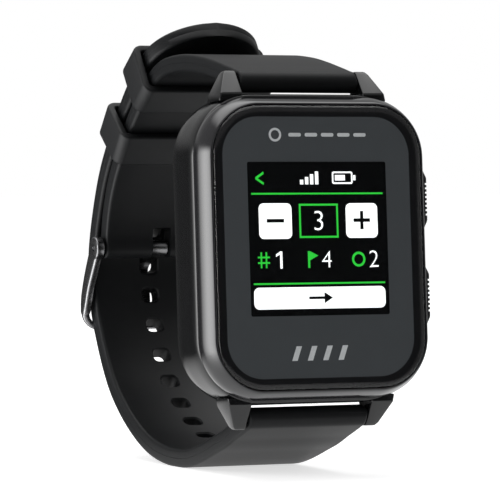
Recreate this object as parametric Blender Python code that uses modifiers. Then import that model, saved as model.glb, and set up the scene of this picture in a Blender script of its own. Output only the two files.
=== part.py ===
"""Golf GPS watch, buckled, as an assembly of separate parts.

Frame: origin at the centre of the back cover's outer face, +Y out of that face towards the wrist,
+Z towards 12 o'clock, +X towards 3 o'clock, where the two buttons are. Units are metres.
"""

import math

import bmesh
import bpy
from mathutils import Matrix, Vector
from mathutils.geometry import interpolate_bezier

MM = 0.001
GAP = 0.3 * MM               # general clearance between neighbouring pieces
SMALL_GAP = 0.1 * MM         # clearance between stacked inner layers
CORNER_STEPS = 7             # facets of a case corner

# Case
CASE_HALF_W = 19.1 * MM
CASE_HALF_H = 23.75 * MM
CASE_CORNER = 10.2 * MM
CASE_FRONT = -8.15 * MM      # front rim of the mid case
CASE_REAR = -0.3 * MM
CASE_WALL = 2.5 * MM
REAR_CHAMFER = 0.35 * MM
RIM_INSET = 0.4 * MM         # the side wall curves in towards the front rim
REAR_INSET = 0.25 * MM       # and a little towards the rear
COVER_REBATE = 1.2 * MM      # how far the back cover's seat is cut into the wall
COVER_SEAT = -2.0 * MM

# Front: bezel ring and glass
BEZEL_HALF_W = 19.0 * MM
BEZEL_HALF_H = 23.07 * MM
BEZEL_CORNER = 9.3 * MM
BEZEL_REAR = CASE_FRONT - GAP
FRONT = -13.0 * MM           # foremost plane of the glass
GLASS_HALF_W = 17.45 * MM
GLASS_HALF_H = 21.55 * MM
GLASS_CORNER = 7.6 * MM
GLASS_THICKNESS = 1.0 * MM
BEZEL_LIP = 1.38 * MM        # width of the bezel in front of the glass seat
GLASS_EDGE_DROP = 0.6 * MM   # how far the glass curves back at its edge
GLASS_EDGE_WIDTH = 1.3 * MM

# Display
DISPLAY_CENTRE_Z = 1.3 * MM
DISPLAY_SIDE = 23.4 * MM     # active area, a 1.3 inch square panel
PANEL_BORDER = 1.0 * MM
PANEL_THICKNESS = 0.75 * MM
BACKLIGHT_THICKNESS = 0.8 * MM
BRACKET_THICKNESS = 0.6 * MM

# Electronics stack, front to back
BOARD_FRONT = -8.0 * MM
BOARD_THICKNESS = 0.8 * MM
BATTERY_SIZE = (23.0 * MM, 3.9 * MM, 28.0 * MM)
PAD_THICKNESS = 0.25 * MM

# Back cover
COVER_THICKNESS = 1.5 * MM
SCREW_AT = (12.5 * MM, 17.1 * MM)
CONTACT_PITCH = 2.6 * MM
CONTACT_Z = -11.0 * MM

# Lugs and spring bars
STRAP_GAP = 20.4 * MM        # between opposite lug faces, for a 20 mm strap
LUG_BASE_OUT = 13.9 * MM
LUG_TIP_OUT = 12.25 * MM
LUG_TIP_Z = 27.4 * MM
LUG_FRONT_BASE = CASE_FRONT + 0.05 * MM
LUG_FRONT_TIP = -5.6 * MM
LUG_REAR_BASE = -3.4 * MM
LUG_REAR_TIP = -4.0 * MM
BAR_Y = -5.2 * MM
BAR_Z = 25.75 * MM
BAR_TUBE_RADIUS = 0.75 * MM
BAR_BORE_RADIUS = 0.5 * MM
BAR_TUBE_HALF = 8.0 * MM
BAR_PIN_RADIUS = 0.4 * MM
LUG_HOLE_RADIUS = 0.5 * MM
BAR_PIN_TIP = 11.2 * MM
BAR_FLANGE_X = 9.3 * MM
BAR_PIN_INNER = 6.6 * MM

# Buttons
BUTTON_Z = 7.45 * MM
BUTTON_Y = -5.8 * MM
BUTTON_HALF_L = 4.8 * MM
BUTTON_HALF_D = 1.8 * MM
BUTTON_OUT = 21.1 * MM
BUTTON_IN = 18.55 * MM
BUTTON_END_SLOPE = 1.5 * MM
RIB_PITCH = 0.68 * MM
RIB_COUNT = 8
RIB_DEPTH = 0.35 * MM
POCKET_FLOOR = 18.05 * MM
STEM_RADIUS = 0.6 * MM
STEM_BORE = 1.1 * MM
STEM_END = 15.5 * MM
CLIP_X = 16.05 * MM

# Strap: centre lines in the plane x = 0, as (y, z) through which a smooth curve runs
STRAP_HALF_W = 9.95 * MM
STRAP_HALF_W_BUCKLE = 9.9 * MM
STRAP_EDGE = 0.55 * MM
END_RADIUS = 1.7 * MM        # round end about the spring bar
EYELET_BORE = 0.9 * MM
BUCKLE_BAR = (49.0 * MM, 2.8 * MM)
BUCKLE_END_RADIUS = 1.75 * MM
TAIL_PATH = (
    (-5.2, -25.75), (-0.6, -27.35), (5.5, -29.3), (19.2, -31.8), (33.5, -29.35), (45.8, -21.3),
    (52.45, -10.7), (54.4, -3.0), (53.5, 4.5), (48.95, 14.4), (42.6, 22.0), (38.75, 25.7),
    (35.3, 28.5), (29.95, 31.95), (22.4, 36.6),
)
BUCKLE_STRAP_PATH = (
    (-5.2, 25.75), (-1.6, 26.9), (3.0, 28.3), (9.0, 29.6), (16.5, 30.5), (24.2, 30.1), (30.6, 27.3),
    (36.3, 23.0), (39.9, 19.6), (44.75, 13.9), (47.6, 8.4), (49.0, 2.8),
)
TAIL_THICKNESS = 3.0 * MM
STRAP_THICKNESS = 2.8 * MM
TAIL_SWELL = 0.4 * MM        # extra thickness beside the case
STRAP_SWELL = 0.5 * MM
SWELL_LENGTH = 9.0 * MM      # over which it fades out
TAIL_STATIONS = 46
STRAP_STATIONS = 30
TIP_LENGTH = 8.6 * MM        # rounded free end of the tail
HOLE_PITCH = 5.75 * MM
HOLE_ALONG = 2.3 * MM
HOLE_ACROSS = 2.9 * MM
HOLE_ROUND = 0.8 * MM
TONGUE_HOLE_ALONG = 3.5 * MM     # stretched by the tongue
TONGUE_HOLE_ACROSS = 3.1 * MM
HOLES_BEFORE = 7             # holes from the tongue hole towards the case
HOLES_AFTER = 4              # and towards the free end
TONGUE_HOLE_Z = 0.6 * MM

# Keepers: rings round both straps
KEEPER_LENGTH = 5.8 * MM
KEEPER_WALL = 1.25 * MM
KEEPER_OPEN_HALF_W = 10.3 * MM
KEEPER_OPEN_HALF_T = 3.5 * MM
KEEPER_CORNER = 0.7 * MM
KEEPER_SINK = 1.82 * MM       # centre of the opening below the tail's centre line
KEEPER_HEIGHTS = {"free_keeper": 30.8, "fixed_keeper": 22.4}    # where the tail's middle passes them

# Buckle
ARM_IN = 10.3 * MM
ARM_OUT = 11.6 * MM
EYE_RADIUS = 1.85 * MM
EYE_HOLE = 0.5 * MM
ARM_PATH = ((49.0, 2.8), (51.0, 0.0), (52.5, -2.3), (53.6, -4.4), (54.2, -6.0), (54.7, -7.6))
ARM_HALF_WIDTHS = (1.6, 1.5, 1.35, 1.3, 1.0, 0.65)       # at those points
FRONT_BAR = (55.1 * MM, -10.0 * MM)
FRONT_BAR_RADIUS = 0.65 * MM
FRONT_BAR_HALF_HEIGHT = 0.45 * MM
BUCKLE_CORNER = 2.6 * MM
TONGUE_PATH = (
    (49.0, 2.8), (51.4, 1.8), (53.9, 1.0), (55.9, 0.35), (56.75, -1.3), (56.4, -5.0), (56.4, -10.9),
)
TONGUE_HALF_W = 1.35 * MM
TONGUE_SPREAD = 0.15 * MM      # wider again where it lies on the strap
TONGUE_THICKNESS = 0.85 * MM
TONGUE_ROUND = 0.2 * MM
BARREL_HALF_W = 1.4 * MM
BARREL_RADIUS = 1.25 * MM
BARREL_BORE = 0.72 * MM
BUCKLE_TUBE_RADIUS = 0.62 * MM
BUCKLE_TUBE_BORE = 0.45 * MM
BUCKLE_TUBE_HALF = 7.8 * MM
BUCKLE_PIN_RADIUS = 0.35 * MM
BUCKLE_PIN_TIP = 11.5 * MM
BUCKLE_FLANGE_X = 9.2 * MM
BUCKLE_PIN_INNER = 6.3 * MM
TONGUE_SLOT_HALF = 1.65 * MM
TONGUE_SLOT_LENGTH = 3.2 * MM

DEPTH_AXIS = Matrix.Rotation(math.pi / 2, 4, "X")      # local +Z becomes world -Y, local +Y world +Z
ACROSS_AXIS = Matrix.Rotation(math.pi / 2, 4, "Y")     # local +Z becomes world +X


# ---------------------------------------------------------------- scene and helpers

def clear_scene():
    """Remove whatever the scene holds."""
    for item in list(bpy.data.objects):
        bpy.data.objects.remove(item, do_unlink=True)


def make_collection(name):
    """A new collection in the scene."""
    collection = bpy.data.collections.new(name)
    bpy.context.scene.collection.children.link(collection)
    return collection


clear_scene()
PARTS = make_collection("golf_gps_watch")
CUTTERS = make_collection("cutters")


def make_material(name, colour, roughness, metallic=0.0):
    """A Principled material."""
    material = bpy.data.materials.new(name)
    material.use_nodes = True
    shader = material.node_tree.nodes["Principled BSDF"]
    shader.inputs["Base Color"].default_value = (*colour, 1.0)
    shader.inputs["Roughness"].default_value = roughness
    shader.inputs["Metallic"].default_value = metallic
    return material


GLOSS_BLACK = make_material("gloss_black", (0.012, 0.012, 0.014), 0.15)
CASE_BLACK = make_material("case_black", (0.018, 0.019, 0.021), 0.4)
GLASS = make_material("cover_glass", (0.03, 0.035, 0.04), 0.05)
RUBBER = make_material("strap_rubber", (0.02, 0.022, 0.025), 0.6)
STEEL = make_material("steel", (0.55, 0.56, 0.57), 0.3, 1.0)
SEAL = make_material("seal", (0.01, 0.01, 0.01), 0.8)
BOARD = make_material("board", (0.01, 0.12, 0.04), 0.5)
CERAMIC = make_material("ceramic", (0.6, 0.55, 0.45), 0.5)
PLASTIC = make_material("inner_plastic", (0.05, 0.05, 0.05), 0.6)
FOAM = make_material("foam", (0.08, 0.08, 0.09), 0.9)
CELL = make_material("battery_pouch", (0.5, 0.5, 0.52), 0.4, 0.5)
GOLD = make_material("gold_contact", (0.9, 0.65, 0.25), 0.25, 1.0)
SCREEN = make_material("screen", (0.005, 0.005, 0.006), 0.2)


def add_object(name, mesh, material, collection=PARTS):
    """Put a mesh in the scene as a named object."""
    item = bpy.data.objects.new(name, mesh)
    collection.objects.link(item)
    if material is not None:
        mesh.materials.append(material)
    mesh.shade_smooth()
    mesh.set_sharp_from_angle(angle=math.radians(35))
    return item


def object_from_bmesh(name, shape, material, collection=PARTS):
    """Finish a bmesh as an object whose faces point outwards."""
    bmesh.ops.recalc_face_normals(shape, faces=shape.faces)
    mesh = bpy.data.meshes.new(name)
    shape.to_mesh(mesh)
    shape.free()
    return add_object(name, mesh, material, collection)


def as_cutter(item):
    """Mark an object as a cutter, which is not part of the model."""
    item.hide_render = True
    item.display_type = "WIRE"
    return item


def combine(target, tool, operation):
    """Boolean modifier on target."""
    modifier = target.modifiers.new(operation.lower(), "BOOLEAN")
    modifier.operation = operation
    modifier.solver = "EXACT"
    modifier.object = tool


def cut(target, *tools):
    """Take cutters away from target."""
    for tool in tools:
        combine(target, tool, "DIFFERENCE")


def join(target, *tools):
    """Merge tools into target as one body."""
    for tool in tools:
        combine(target, tool, "UNION")


def bevel(item, width, segments=2):
    """Round the sharp edges of an object."""
    modifier = item.modifiers.new("bevel", "BEVEL")
    modifier.width = width
    modifier.segments = segments
    modifier.limit_method = "ANGLE"
    modifier.angle_limit = math.radians(50)
    return item


def rounded_rectangle(half_w, half_h, radius, steps=CORNER_STEPS, centre=(0.0, 0.0)):
    """Corner arcs of a rounded rectangle, anticlockwise from +X."""
    points = []
    for quarter, (side_x, side_y) in enumerate(((1, 1), (-1, 1), (-1, -1), (1, -1))):
        for step in range(steps + 1):
            angle = math.pi / 2 * (quarter + step / steps)
            points.append((
                centre[0] + side_x * (half_w - radius) + radius * math.cos(angle),
                centre[1] + side_y * (half_h - radius) + radius * math.sin(angle),
            ))
    return points


def flat_part(name, outlines, front, rear, material, collection=PARTS):
    """A plate in the XZ plane from y = front to y = rear; outlines after the first are holes."""
    curve = bpy.data.curves.new(name, "CURVE")
    curve.dimensions = "2D"
    curve.fill_mode = "BOTH"
    curve.extrude = (rear - front) / 2
    for outline in outlines:
        spline = curve.splines.new("POLY")
        spline.points.add(len(outline) - 1)
        for point, (across, up) in zip(spline.points, outline):
            point.co = (across, up, 0.0, 1.0)
        spline.use_cyclic_u = True
    source = bpy.data.objects.new(name + "_curve", curve)
    bpy.context.scene.collection.objects.link(source)
    source.matrix_world = Matrix.Translation((0, (front + rear) / 2, 0)) @ DEPTH_AXIS
    depsgraph = bpy.context.evaluated_depsgraph_get()
    mesh = bpy.data.meshes.new_from_object(source.evaluated_get(depsgraph))
    shape = bmesh.new()
    shape.from_mesh(mesh)
    bmesh.ops.remove_doubles(shape, verts=shape.verts, dist=0.001 * MM)
    bmesh.ops.dissolve_limit(
        shape, angle_limit=math.radians(1), verts=shape.verts, edges=shape.edges
    )
    item = object_from_bmesh(name, shape, material, collection)
    item.matrix_world = source.matrix_world
    bpy.data.objects.remove(source, do_unlink=True)
    bpy.data.meshes.remove(mesh)
    return item


def block(name, low, high, material, collection=PARTS, edge=0.0):
    """A box between two corners, with optional rounded edges."""
    low = Vector(low)
    high = Vector(high)
    shape = bmesh.new()
    bmesh.ops.create_cube(shape, size=1.0)
    bmesh.ops.scale(shape, vec=high - low, verts=shape.verts)
    item = object_from_bmesh(name, shape, material, collection)
    item.location = (low + high) / 2
    if edge:
        bevel(item, edge, 2)
    return item


def rod(name, centre, radius, length, turn, material, collection=PARTS, segments=20):
    """A cylinder along the turned local Z axis."""
    shape = bmesh.new()
    bmesh.ops.create_cone(
        shape, cap_ends=True, segments=segments, radius1=radius, radius2=radius, depth=length
    )
    item = object_from_bmesh(name, shape, material, collection)
    item.matrix_world = Matrix.Translation(centre) @ turn
    return item


def turned(name, profile, centre, turn, material, closed=False, steps=16, collection=PARTS):
    """A lathe shape: (radius, height) points down its outer side, spun about local Z."""
    shape = bmesh.new()
    verts = [shape.verts.new((radius, 0.0, height)) for radius, height in profile]
    for first, second in zip(verts, verts[1:]):
        shape.edges.new((first, second))
    if closed:
        shape.edges.new((verts[-1], verts[0]))
    mesh = bpy.data.meshes.new(name)
    shape.to_mesh(mesh)
    shape.free()
    item = add_object(name, mesh, material, collection)
    item.matrix_world = Matrix.Translation(centre) @ turn
    screw = item.modifiers.new("screw", "SCREW")
    screw.steps = steps
    screw.render_steps = steps
    screw.use_merge_vertices = True
    screw.merge_threshold = 0.001 * MM
    return item


def ring_loft(name, half_w, half_h, radius, profile, material, steps=CORNER_STEPS, centre_z=0.0):
    """A closed ring: profile points (inset, y) swept round a rounded rectangle."""
    shape = bmesh.new()
    rings = []
    for inset, depth in profile:
        outline = rounded_rectangle(half_w - inset, half_h - inset, radius - inset, steps)
        rings.append([shape.verts.new((x, depth, z + centre_z)) for x, z in outline])
    bridge_rings(shape, rings, closed=True)
    return object_from_bmesh(name, shape, material)


def bridge_rings(shape, rings, closed):
    """Quads between neighbouring rings of equal length, the last joined to the first if closed."""
    count = len(rings[0])
    pairs = list(zip(rings, rings[1:]))
    if closed:
        pairs.append((rings[-1], rings[0]))
    for ring, following in pairs:
        for index in range(count):
            after = (index + 1) % count
            shape.faces.new((ring[index], ring[after], following[after], following[index]))


def loft(name, sections, material, collection=PARTS):
    """A solid through closed sections of equal point count, capped at both ends."""
    shape = bmesh.new()
    rings = [[shape.verts.new(point) for point in section] for section in sections]
    bridge_rings(shape, rings, closed=False)
    shape.faces.new(rings[0])
    shape.faces.new(rings[-1])
    return object_from_bmesh(name, shape, material, collection)


# ---------------------------------------------------------------- paths in the plane x = 0

def smooth_path(points, steps=12):
    """A smooth curve through (y, z) points given in millimetres, as points in metres."""
    knots = [Vector((0.0, y, z)) * MM for y, z in points]
    knots.insert(0, 2 * knots[0] - knots[1])
    knots.append(2 * knots[-1] - knots[-2])
    path = []
    for before, start, end, after in zip(knots, knots[1:], knots[2:], knots[3:]):
        handle_out = start + (end - before) / 6
        handle_in = end - (after - start) / 6
        path.extend(interpolate_bezier(start, handle_out, handle_in, end, steps)[:-1])
    path.append(knots[-2])
    return path


def path_length(path):
    """Total length of a path."""
    return sum((b - a).length for a, b in zip(path, path[1:]))


def path_frame(path, distance):
    """Point, tangent and the normal on the right hand (outward for the tail) at a distance."""
    travelled = 0.0
    for a, b in zip(path, path[1:]):
        step = (b - a).length
        if travelled + step >= distance or b is path[-1]:
            tangent = (b - a).normalized()
            point = a + tangent * (distance - travelled)
            return point, tangent, Vector((0.0, tangent.z, -tangent.y))
        travelled += step
    return path[-1], tangent, Vector((0.0, tangent.z, -tangent.y))


def distance_at_height(path, height, beyond_y):
    """Distance along a path where it crosses z = height going up, beyond y = beyond_y."""
    travelled = 0.0
    for a, b in zip(path, path[1:]):
        step = (b - a).length
        if a.y > beyond_y and a.z <= height < b.z:
            return travelled + step * (height - a.z) / (b.z - a.z)
        travelled += step
    return travelled


def band_section(point, normal, half_w, thickness, edge):
    """A flat band's section, a rectangle with cut corners, across x."""
    half_t = thickness / 2
    edge = min(edge, half_w * 0.45, half_t * 0.9)
    corners = (
        (half_w - edge, half_t), (-half_w + edge, half_t), (-half_w, half_t - edge),
        (-half_w, -half_t + edge), (-half_w + edge, -half_t), (half_w - edge, -half_t),
        (half_w, -half_t + edge), (half_w, half_t - edge),
    )
    return [point + Vector((x, 0.0, 0.0)) + normal * up for x, up in corners]


def eased(value):
    """Smooth step from 0 to 1."""
    value = min(max(value, 0.0), 1.0)
    return value * value * (3 - 2 * value)


# ---------------------------------------------------------------- case parts

def build_mid_case():
    """The case wall with its lugs, button pockets and bores."""
    inner = CASE_WALL
    seat = CASE_WALL - COVER_REBATE
    rear_edge = CASE_REAR - REAR_CHAMFER
    profile = (
        (RIM_INSET, CASE_FRONT), (0.57 * RIM_INSET, CASE_FRONT + 0.25 * MM),
        (0.21 * RIM_INSET, CASE_FRONT + 1.0 * MM), (0.0, CASE_FRONT + 2.6 * MM),
        (0.0, rear_edge - 2.5 * MM), (REAR_INSET, rear_edge), (REAR_INSET + REAR_CHAMFER, CASE_REAR),
        (seat, CASE_REAR), (seat, COVER_SEAT), (inner, COVER_SEAT), (inner, CASE_FRONT),
    )
    case = ring_loft("mid_case", CASE_HALF_W, CASE_HALF_H, CASE_CORNER, profile, CASE_BLACK)
    for side in (1, -1):
        for end in (1, -1):
            join(case, as_cutter(lug(side, end)))
    for end in (1, -1):
        bore = rod(
            f"lug_bore_{end}", (0, BAR_Y, end * BAR_Z), LUG_HOLE_RADIUS, 2 * (BAR_PIN_TIP + GAP),
            ACROSS_AXIS, None, CUTTERS,
        )
        cut(case, as_cutter(bore))
        cut(case, as_cutter(button_pocket(end)))
        stem_bore = rod(
            f"stem_bore_{end}", (POCKET_FLOOR - 1.0 * MM, BUTTON_Y, end * BUTTON_Z), STEM_BORE,
            4.0 * MM, ACROSS_AXIS, None, CUTTERS,
        )
        cut(case, as_cutter(stem_bore))
    return case


def lug(side, end):
    """One lug, tapering from the case wall to its tip."""
    inner = STRAP_GAP / 2
    root_z = CASE_HALF_H - 1.2 * MM
    stations = (
        (root_z, LUG_BASE_OUT + 0.25 * MM, LUG_FRONT_BASE, LUG_REAR_BASE),
        (CASE_HALF_H, LUG_BASE_OUT, LUG_FRONT_BASE, LUG_REAR_BASE),
        (LUG_TIP_Z - 0.5 * MM, LUG_TIP_OUT + 0.1 * MM, LUG_FRONT_TIP - 0.35 * MM, LUG_REAR_TIP),
        (LUG_TIP_Z, LUG_TIP_OUT - 0.35 * MM, LUG_FRONT_TIP + 0.15 * MM, LUG_REAR_TIP - 0.3 * MM),
    )
    sections = []
    for z, outer, front, rear in stations:
        section = [
            (side * inner, front, end * z), (side * outer, front, end * z),
            (side * outer, rear, end * z), (side * inner, rear, end * z),
        ]
        sections.append(section)
    item = loft(f"lug_{side}_{end}", sections, None, CUTTERS)
    return bevel(item, 0.15 * MM, 1)


def button_pocket(end):
    """The recess in the case wall that a button sinks into."""
    margin = 0.15 * MM
    centre = (0.0, end * BUTTON_Z)
    outline = [
        (POCKET_FLOOR, centre[1] - BUTTON_HALF_L - margin),
        (CASE_HALF_W + 1.0 * MM, centre[1] - BUTTON_HALF_L - margin),
        (CASE_HALF_W + 1.0 * MM, centre[1] + BUTTON_HALF_L + margin),
        (POCKET_FLOOR, centre[1] + BUTTON_HALF_L + margin),
    ]
    front = BUTTON_Y - BUTTON_HALF_D - margin
    rear = BUTTON_Y + BUTTON_HALF_D + margin
    return flat_part(f"button_pocket_{end}", [outline], front, rear, None, CUTTERS)


def build_bezel():
    """The glossy front ring, rounded from the glass edge to the case side."""
    seat = BEZEL_LIP
    glass_edge = FRONT + GLASS_EDGE_DROP
    ledge = seat + 1.9 * MM
    profile = (
        (0.12 * MM, BEZEL_REAR), (0.0, BEZEL_REAR - 0.12 * MM), (0.0, -9.3 * MM),
        (0.08 * MM, -10.0 * MM), (0.3 * MM, -10.8 * MM), (0.65 * MM, -11.6 * MM),
        (0.95 * MM, -12.2 * MM), (1.2 * MM, -12.5 * MM), (seat, glass_edge), (seat, FRONT + 1.55 * MM),
        (ledge, FRONT + 1.55 * MM), (ledge, BEZEL_REAR),
    )
    return ring_loft("front_bezel", BEZEL_HALF_W, BEZEL_HALF_H, BEZEL_CORNER, profile, GLOSS_BLACK)


def build_glass():
    """Cover glass whose front curves back towards its edge."""
    rear = FRONT + GLASS_THICKNESS
    insets = (
        (0.1 * MM, rear + 0.15 * MM), (0.0, rear), (0.0, FRONT + GLASS_EDGE_DROP),
        (0.35 * GLASS_EDGE_WIDTH, FRONT + 0.3 * GLASS_EDGE_DROP), (GLASS_EDGE_WIDTH, FRONT),
    )
    sections = []
    for inset, depth in insets:
        outline = rounded_rectangle(GLASS_HALF_W - inset, GLASS_HALF_H - inset, GLASS_CORNER - inset)
        sections.append([(x, depth, z) for x, z in outline])
    return loft("cover_glass", sections, GLASS)


def build_glass_gasket():
    """Adhesive ring between the glass and the bezel's ledge."""
    front = FRONT + GLASS_THICKNESS + 0.2 * MM
    profile = ((0.2 * MM, front), (0.2 * MM, front + 0.2 * MM), (1.6 * MM, front + 0.2 * MM),
               (1.6 * MM, front))
    return ring_loft(
        "glass_gasket", GLASS_HALF_W, GLASS_HALF_H, GLASS_CORNER, profile, SEAL, steps=4
    )


def build_display_stack():
    """Panel, backlight, bracket and ribbon behind the glass."""
    half = DISPLAY_SIDE / 2 + PANEL_BORDER
    front = FRONT + GLASS_THICKNESS + 0.25 * MM
    low_z = DISPLAY_CENTRE_Z - half - 1.0 * MM
    high_z = DISPLAY_CENTRE_Z + half
    rear = front + PANEL_THICKNESS
    block("display_panel", (-half, front, low_z), (half, rear, high_z), SCREEN)
    front = rear + SMALL_GAP
    rear = front + BACKLIGHT_THICKNESS
    block("backlight", (-half, front, low_z), (half, rear, high_z), PLASTIC)
    front = rear + SMALL_GAP
    rear = front + BRACKET_THICKNESS
    centre = (0.0, DISPLAY_CENTRE_Z)
    outline = rounded_rectangle(half + 1.2 * MM, half + 1.2 * MM, 3.0 * MM, 3, centre)
    window = rounded_rectangle(half - 3.0 * MM, half - 3.0 * MM, 2.0 * MM, 3, centre)
    flat_part("display_bracket", [outline, window], front, rear, PLASTIC)
    build_display_flex(low_z)


def build_display_flex(panel_low_z):
    """Ribbon from the panel's lower edge round to the main board."""
    path = smooth_path((
        (-11.35, panel_low_z / MM - 0.15), (-11.2, panel_low_z / MM - 0.7),
        (-10.2, panel_low_z / MM - 1.1), (-9.2, panel_low_z / MM - 1.0), (-8.35, panel_low_z / MM - 0.9),
    ), steps=4)
    length = path_length(path)
    sections = []
    for step in range(9):
        point, tangent, normal = path_frame(path, length * step / 8)
        point = point + Vector((-6.0 * MM, 0.0, 0.0))
        corners = ((3.0, 0.06), (-3.0, 0.06), (-3.0, -0.06), (3.0, -0.06))
        sections.append([point + Vector((x * MM, 0, 0)) + normal * (up * MM) for x, up in corners])
    loft("display_flex", sections, GOLD)


def build_board():
    """Main board with its cans, antenna and the two button switches."""
    half_w = CASE_HALF_W - CASE_WALL - 1.5 * MM
    half_h = CASE_HALF_H - CASE_WALL - 1.5 * MM
    outline = rounded_rectangle(half_w, half_h, CASE_CORNER - CASE_WALL - 1.0 * MM, 4)
    rear = BOARD_FRONT + BOARD_THICKNESS
    flat_part("main_board", [outline], BOARD_FRONT, rear, BOARD)
    top = BOARD_FRONT - SMALL_GAP
    can_front = top - 1.1 * MM
    edge = 0.25 * MM
    block("gps_shield_can", (-11 * MM, can_front, 5 * MM), (-1 * MM, top, 14 * MM), STEEL, edge=edge)
    block("processor_shield_can", (1 * MM, can_front, -4 * MM), (12 * MM, top, 7 * MM), STEEL, edge=edge)
    block("gps_antenna", (-1.5 * MM, top - 3.2 * MM, -19.0 * MM), (10.5 * MM, top, -14.4 * MM), CERAMIC,
          edge=0.3 * MM)
    for name, end in (("upper", 1), ("lower", -1)):
        build_switch(f"{name}_button_switch", end, rear + SMALL_GAP)


def build_switch(name, end, front):
    """A side-push tact switch behind a button stem."""
    z = end * BUTTON_Z
    body = block(
        name, (12.9 * MM, front, z - 2.2 * MM), (14.6 * MM, front + 2.2 * MM, z + 2.2 * MM), PLASTIC
    )
    plunger = rod(
        f"{name}_plunger", (14.6 * MM, BUTTON_Y, z), 0.55 * MM, 0.7 * MM, ACROSS_AXIS, None, CUTTERS, 14
    )
    join(body, as_cutter(plunger))


def build_battery():
    """Pouch cell on its foam pad behind the board."""
    half_x = BATTERY_SIZE[0] / 2
    half_z = BATTERY_SIZE[2] / 2
    pad_front = BOARD_FRONT + BOARD_THICKNESS + SMALL_GAP
    pad_rear = pad_front + PAD_THICKNESS
    block("battery_pad", (-half_x + MM, pad_front, -half_z + MM), (half_x - MM, pad_rear, half_z - MM), FOAM)
    front = pad_rear + SMALL_GAP
    block(
        "battery", (-half_x, front, -half_z), (half_x, front + BATTERY_SIZE[1], half_z), CELL,
        edge=0.6 * MM,
    )


def build_inner_frame():
    """Plastic frame round the battery, with posts for the back cover screws."""
    half_w = CASE_HALF_W - CASE_WALL - GAP
    half_h = CASE_HALF_H - CASE_WALL - GAP
    radius = CASE_CORNER - CASE_WALL - GAP
    wall = 1.2 * MM
    front = -4.5 * MM
    rear = COVER_SEAT - GAP
    profile = ((0.0, front), (0.0, rear), (wall, rear), (wall, front))
    frame = ring_loft("inner_frame", half_w, half_h, radius, profile, PLASTIC, steps=5)
    for side in (1, -1):
        for end in (1, -1):
            centre = (side * SCREW_AT[0], (front + rear) / 2, end * SCREW_AT[1])
            post = rod(f"post_{side}_{end}", centre, 1.9 * MM, rear - front, DEPTH_AXIS, None, CUTTERS, 16)
            join(frame, as_cutter(post))
            bore = rod(f"post_bore_{side}_{end}", centre, 0.8 * MM, 5 * MM, DEPTH_AXIS, None, CUTTERS, 14)
            cut(frame, as_cutter(bore))


def cover_half_size():
    """Half width, half height and corner radius of the back cover."""
    inset = CASE_WALL - COVER_REBATE + 0.15 * MM
    return CASE_HALF_W - inset, CASE_HALF_H - inset, CASE_CORNER - inset


def build_back_cover():
    """Flat back cover with countersunk screw holes and contact holes."""
    half_w, half_h, radius = cover_half_size()
    outline = rounded_rectangle(half_w, half_h, radius)
    cover = flat_part("back_cover", [outline], -COVER_THICKNESS, 0.0, CASE_BLACK)
    bevel(cover, 0.2 * MM, 1)
    for side in (1, -1):
        for end in (1, -1):
            centre = (side * SCREW_AT[0], 0.0, end * SCREW_AT[1])
            profile = (
                (0.0, 1.0 * MM), (1.65 * MM, 1.0 * MM), (1.65 * MM, -0.35 * MM), (1.0 * MM, -0.9 * MM),
                (1.0 * MM, -2.5 * MM), (0.0, -2.5 * MM),
            )
            hole = turned(f"screw_hole_{side}_{end}", profile, centre, outward_turn(), None,
                          collection=CUTTERS)
            cut(cover, as_cutter(hole))
    for index in range(4):
        x = (index - 1.5) * CONTACT_PITCH
        hole = rod(f"contact_hole_{index}", (x, -0.7 * MM, CONTACT_Z), 1.0 * MM, 4 * MM, DEPTH_AXIS,
                   None, CUTTERS, 16)
        cut(cover, as_cutter(hole))


def outward_turn():
    """Rotation that points local +Z along world +Y, out of the back."""
    return Matrix.Rotation(-math.pi / 2, 4, "X")


def build_back_gasket():
    """Seal between back cover and case seat."""
    half_w, half_h, radius = cover_half_size()
    front = COVER_SEAT + 0.1 * MM
    profile = ((0.1 * MM, front), (0.1 * MM, front + 0.3 * MM), (1.0 * MM, front + 0.3 * MM),
               (1.0 * MM, front))
    ring_loft("back_gasket", half_w, half_h, radius, profile, SEAL, steps=5)


def build_screws():
    """Four countersunk screws that hold the back cover to the inner frame."""
    number = 0
    for end in (1, -1):
        for side in (-1, 1):
            number += 1
            profile = (
                (0.0, -0.45 * MM), (0.5 * MM, -0.45 * MM), (0.6 * MM, -0.1 * MM), (1.25 * MM, -0.1 * MM),
                (1.3 * MM, -0.3 * MM), (0.65 * MM, -0.85 * MM), (0.6 * MM, -4.2 * MM), (0.0, -4.6 * MM),
            )
            centre = (side * SCREW_AT[0], 0.0, end * SCREW_AT[1])
            turned(f"back_screw_{number}", profile, centre, outward_turn(), STEEL, steps=14)


def build_contacts():
    """Four gold charging contacts, flush with the back cover."""
    for index in range(4):
        x = (index - 1.5) * CONTACT_PITCH
        profile = (
            (0.0, -0.05 * MM), (0.75 * MM, -0.05 * MM), (0.8 * MM, -0.12 * MM), (0.8 * MM, -1.7 * MM),
            (0.45 * MM, -1.7 * MM), (0.45 * MM, -2.4 * MM), (0.0, -2.4 * MM),
        )
        turned(f"charge_contact_{index + 1}", profile, (x, 0.0, CONTACT_Z), outward_turn(), GOLD,
               steps=14)


# ---------------------------------------------------------------- buttons

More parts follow.
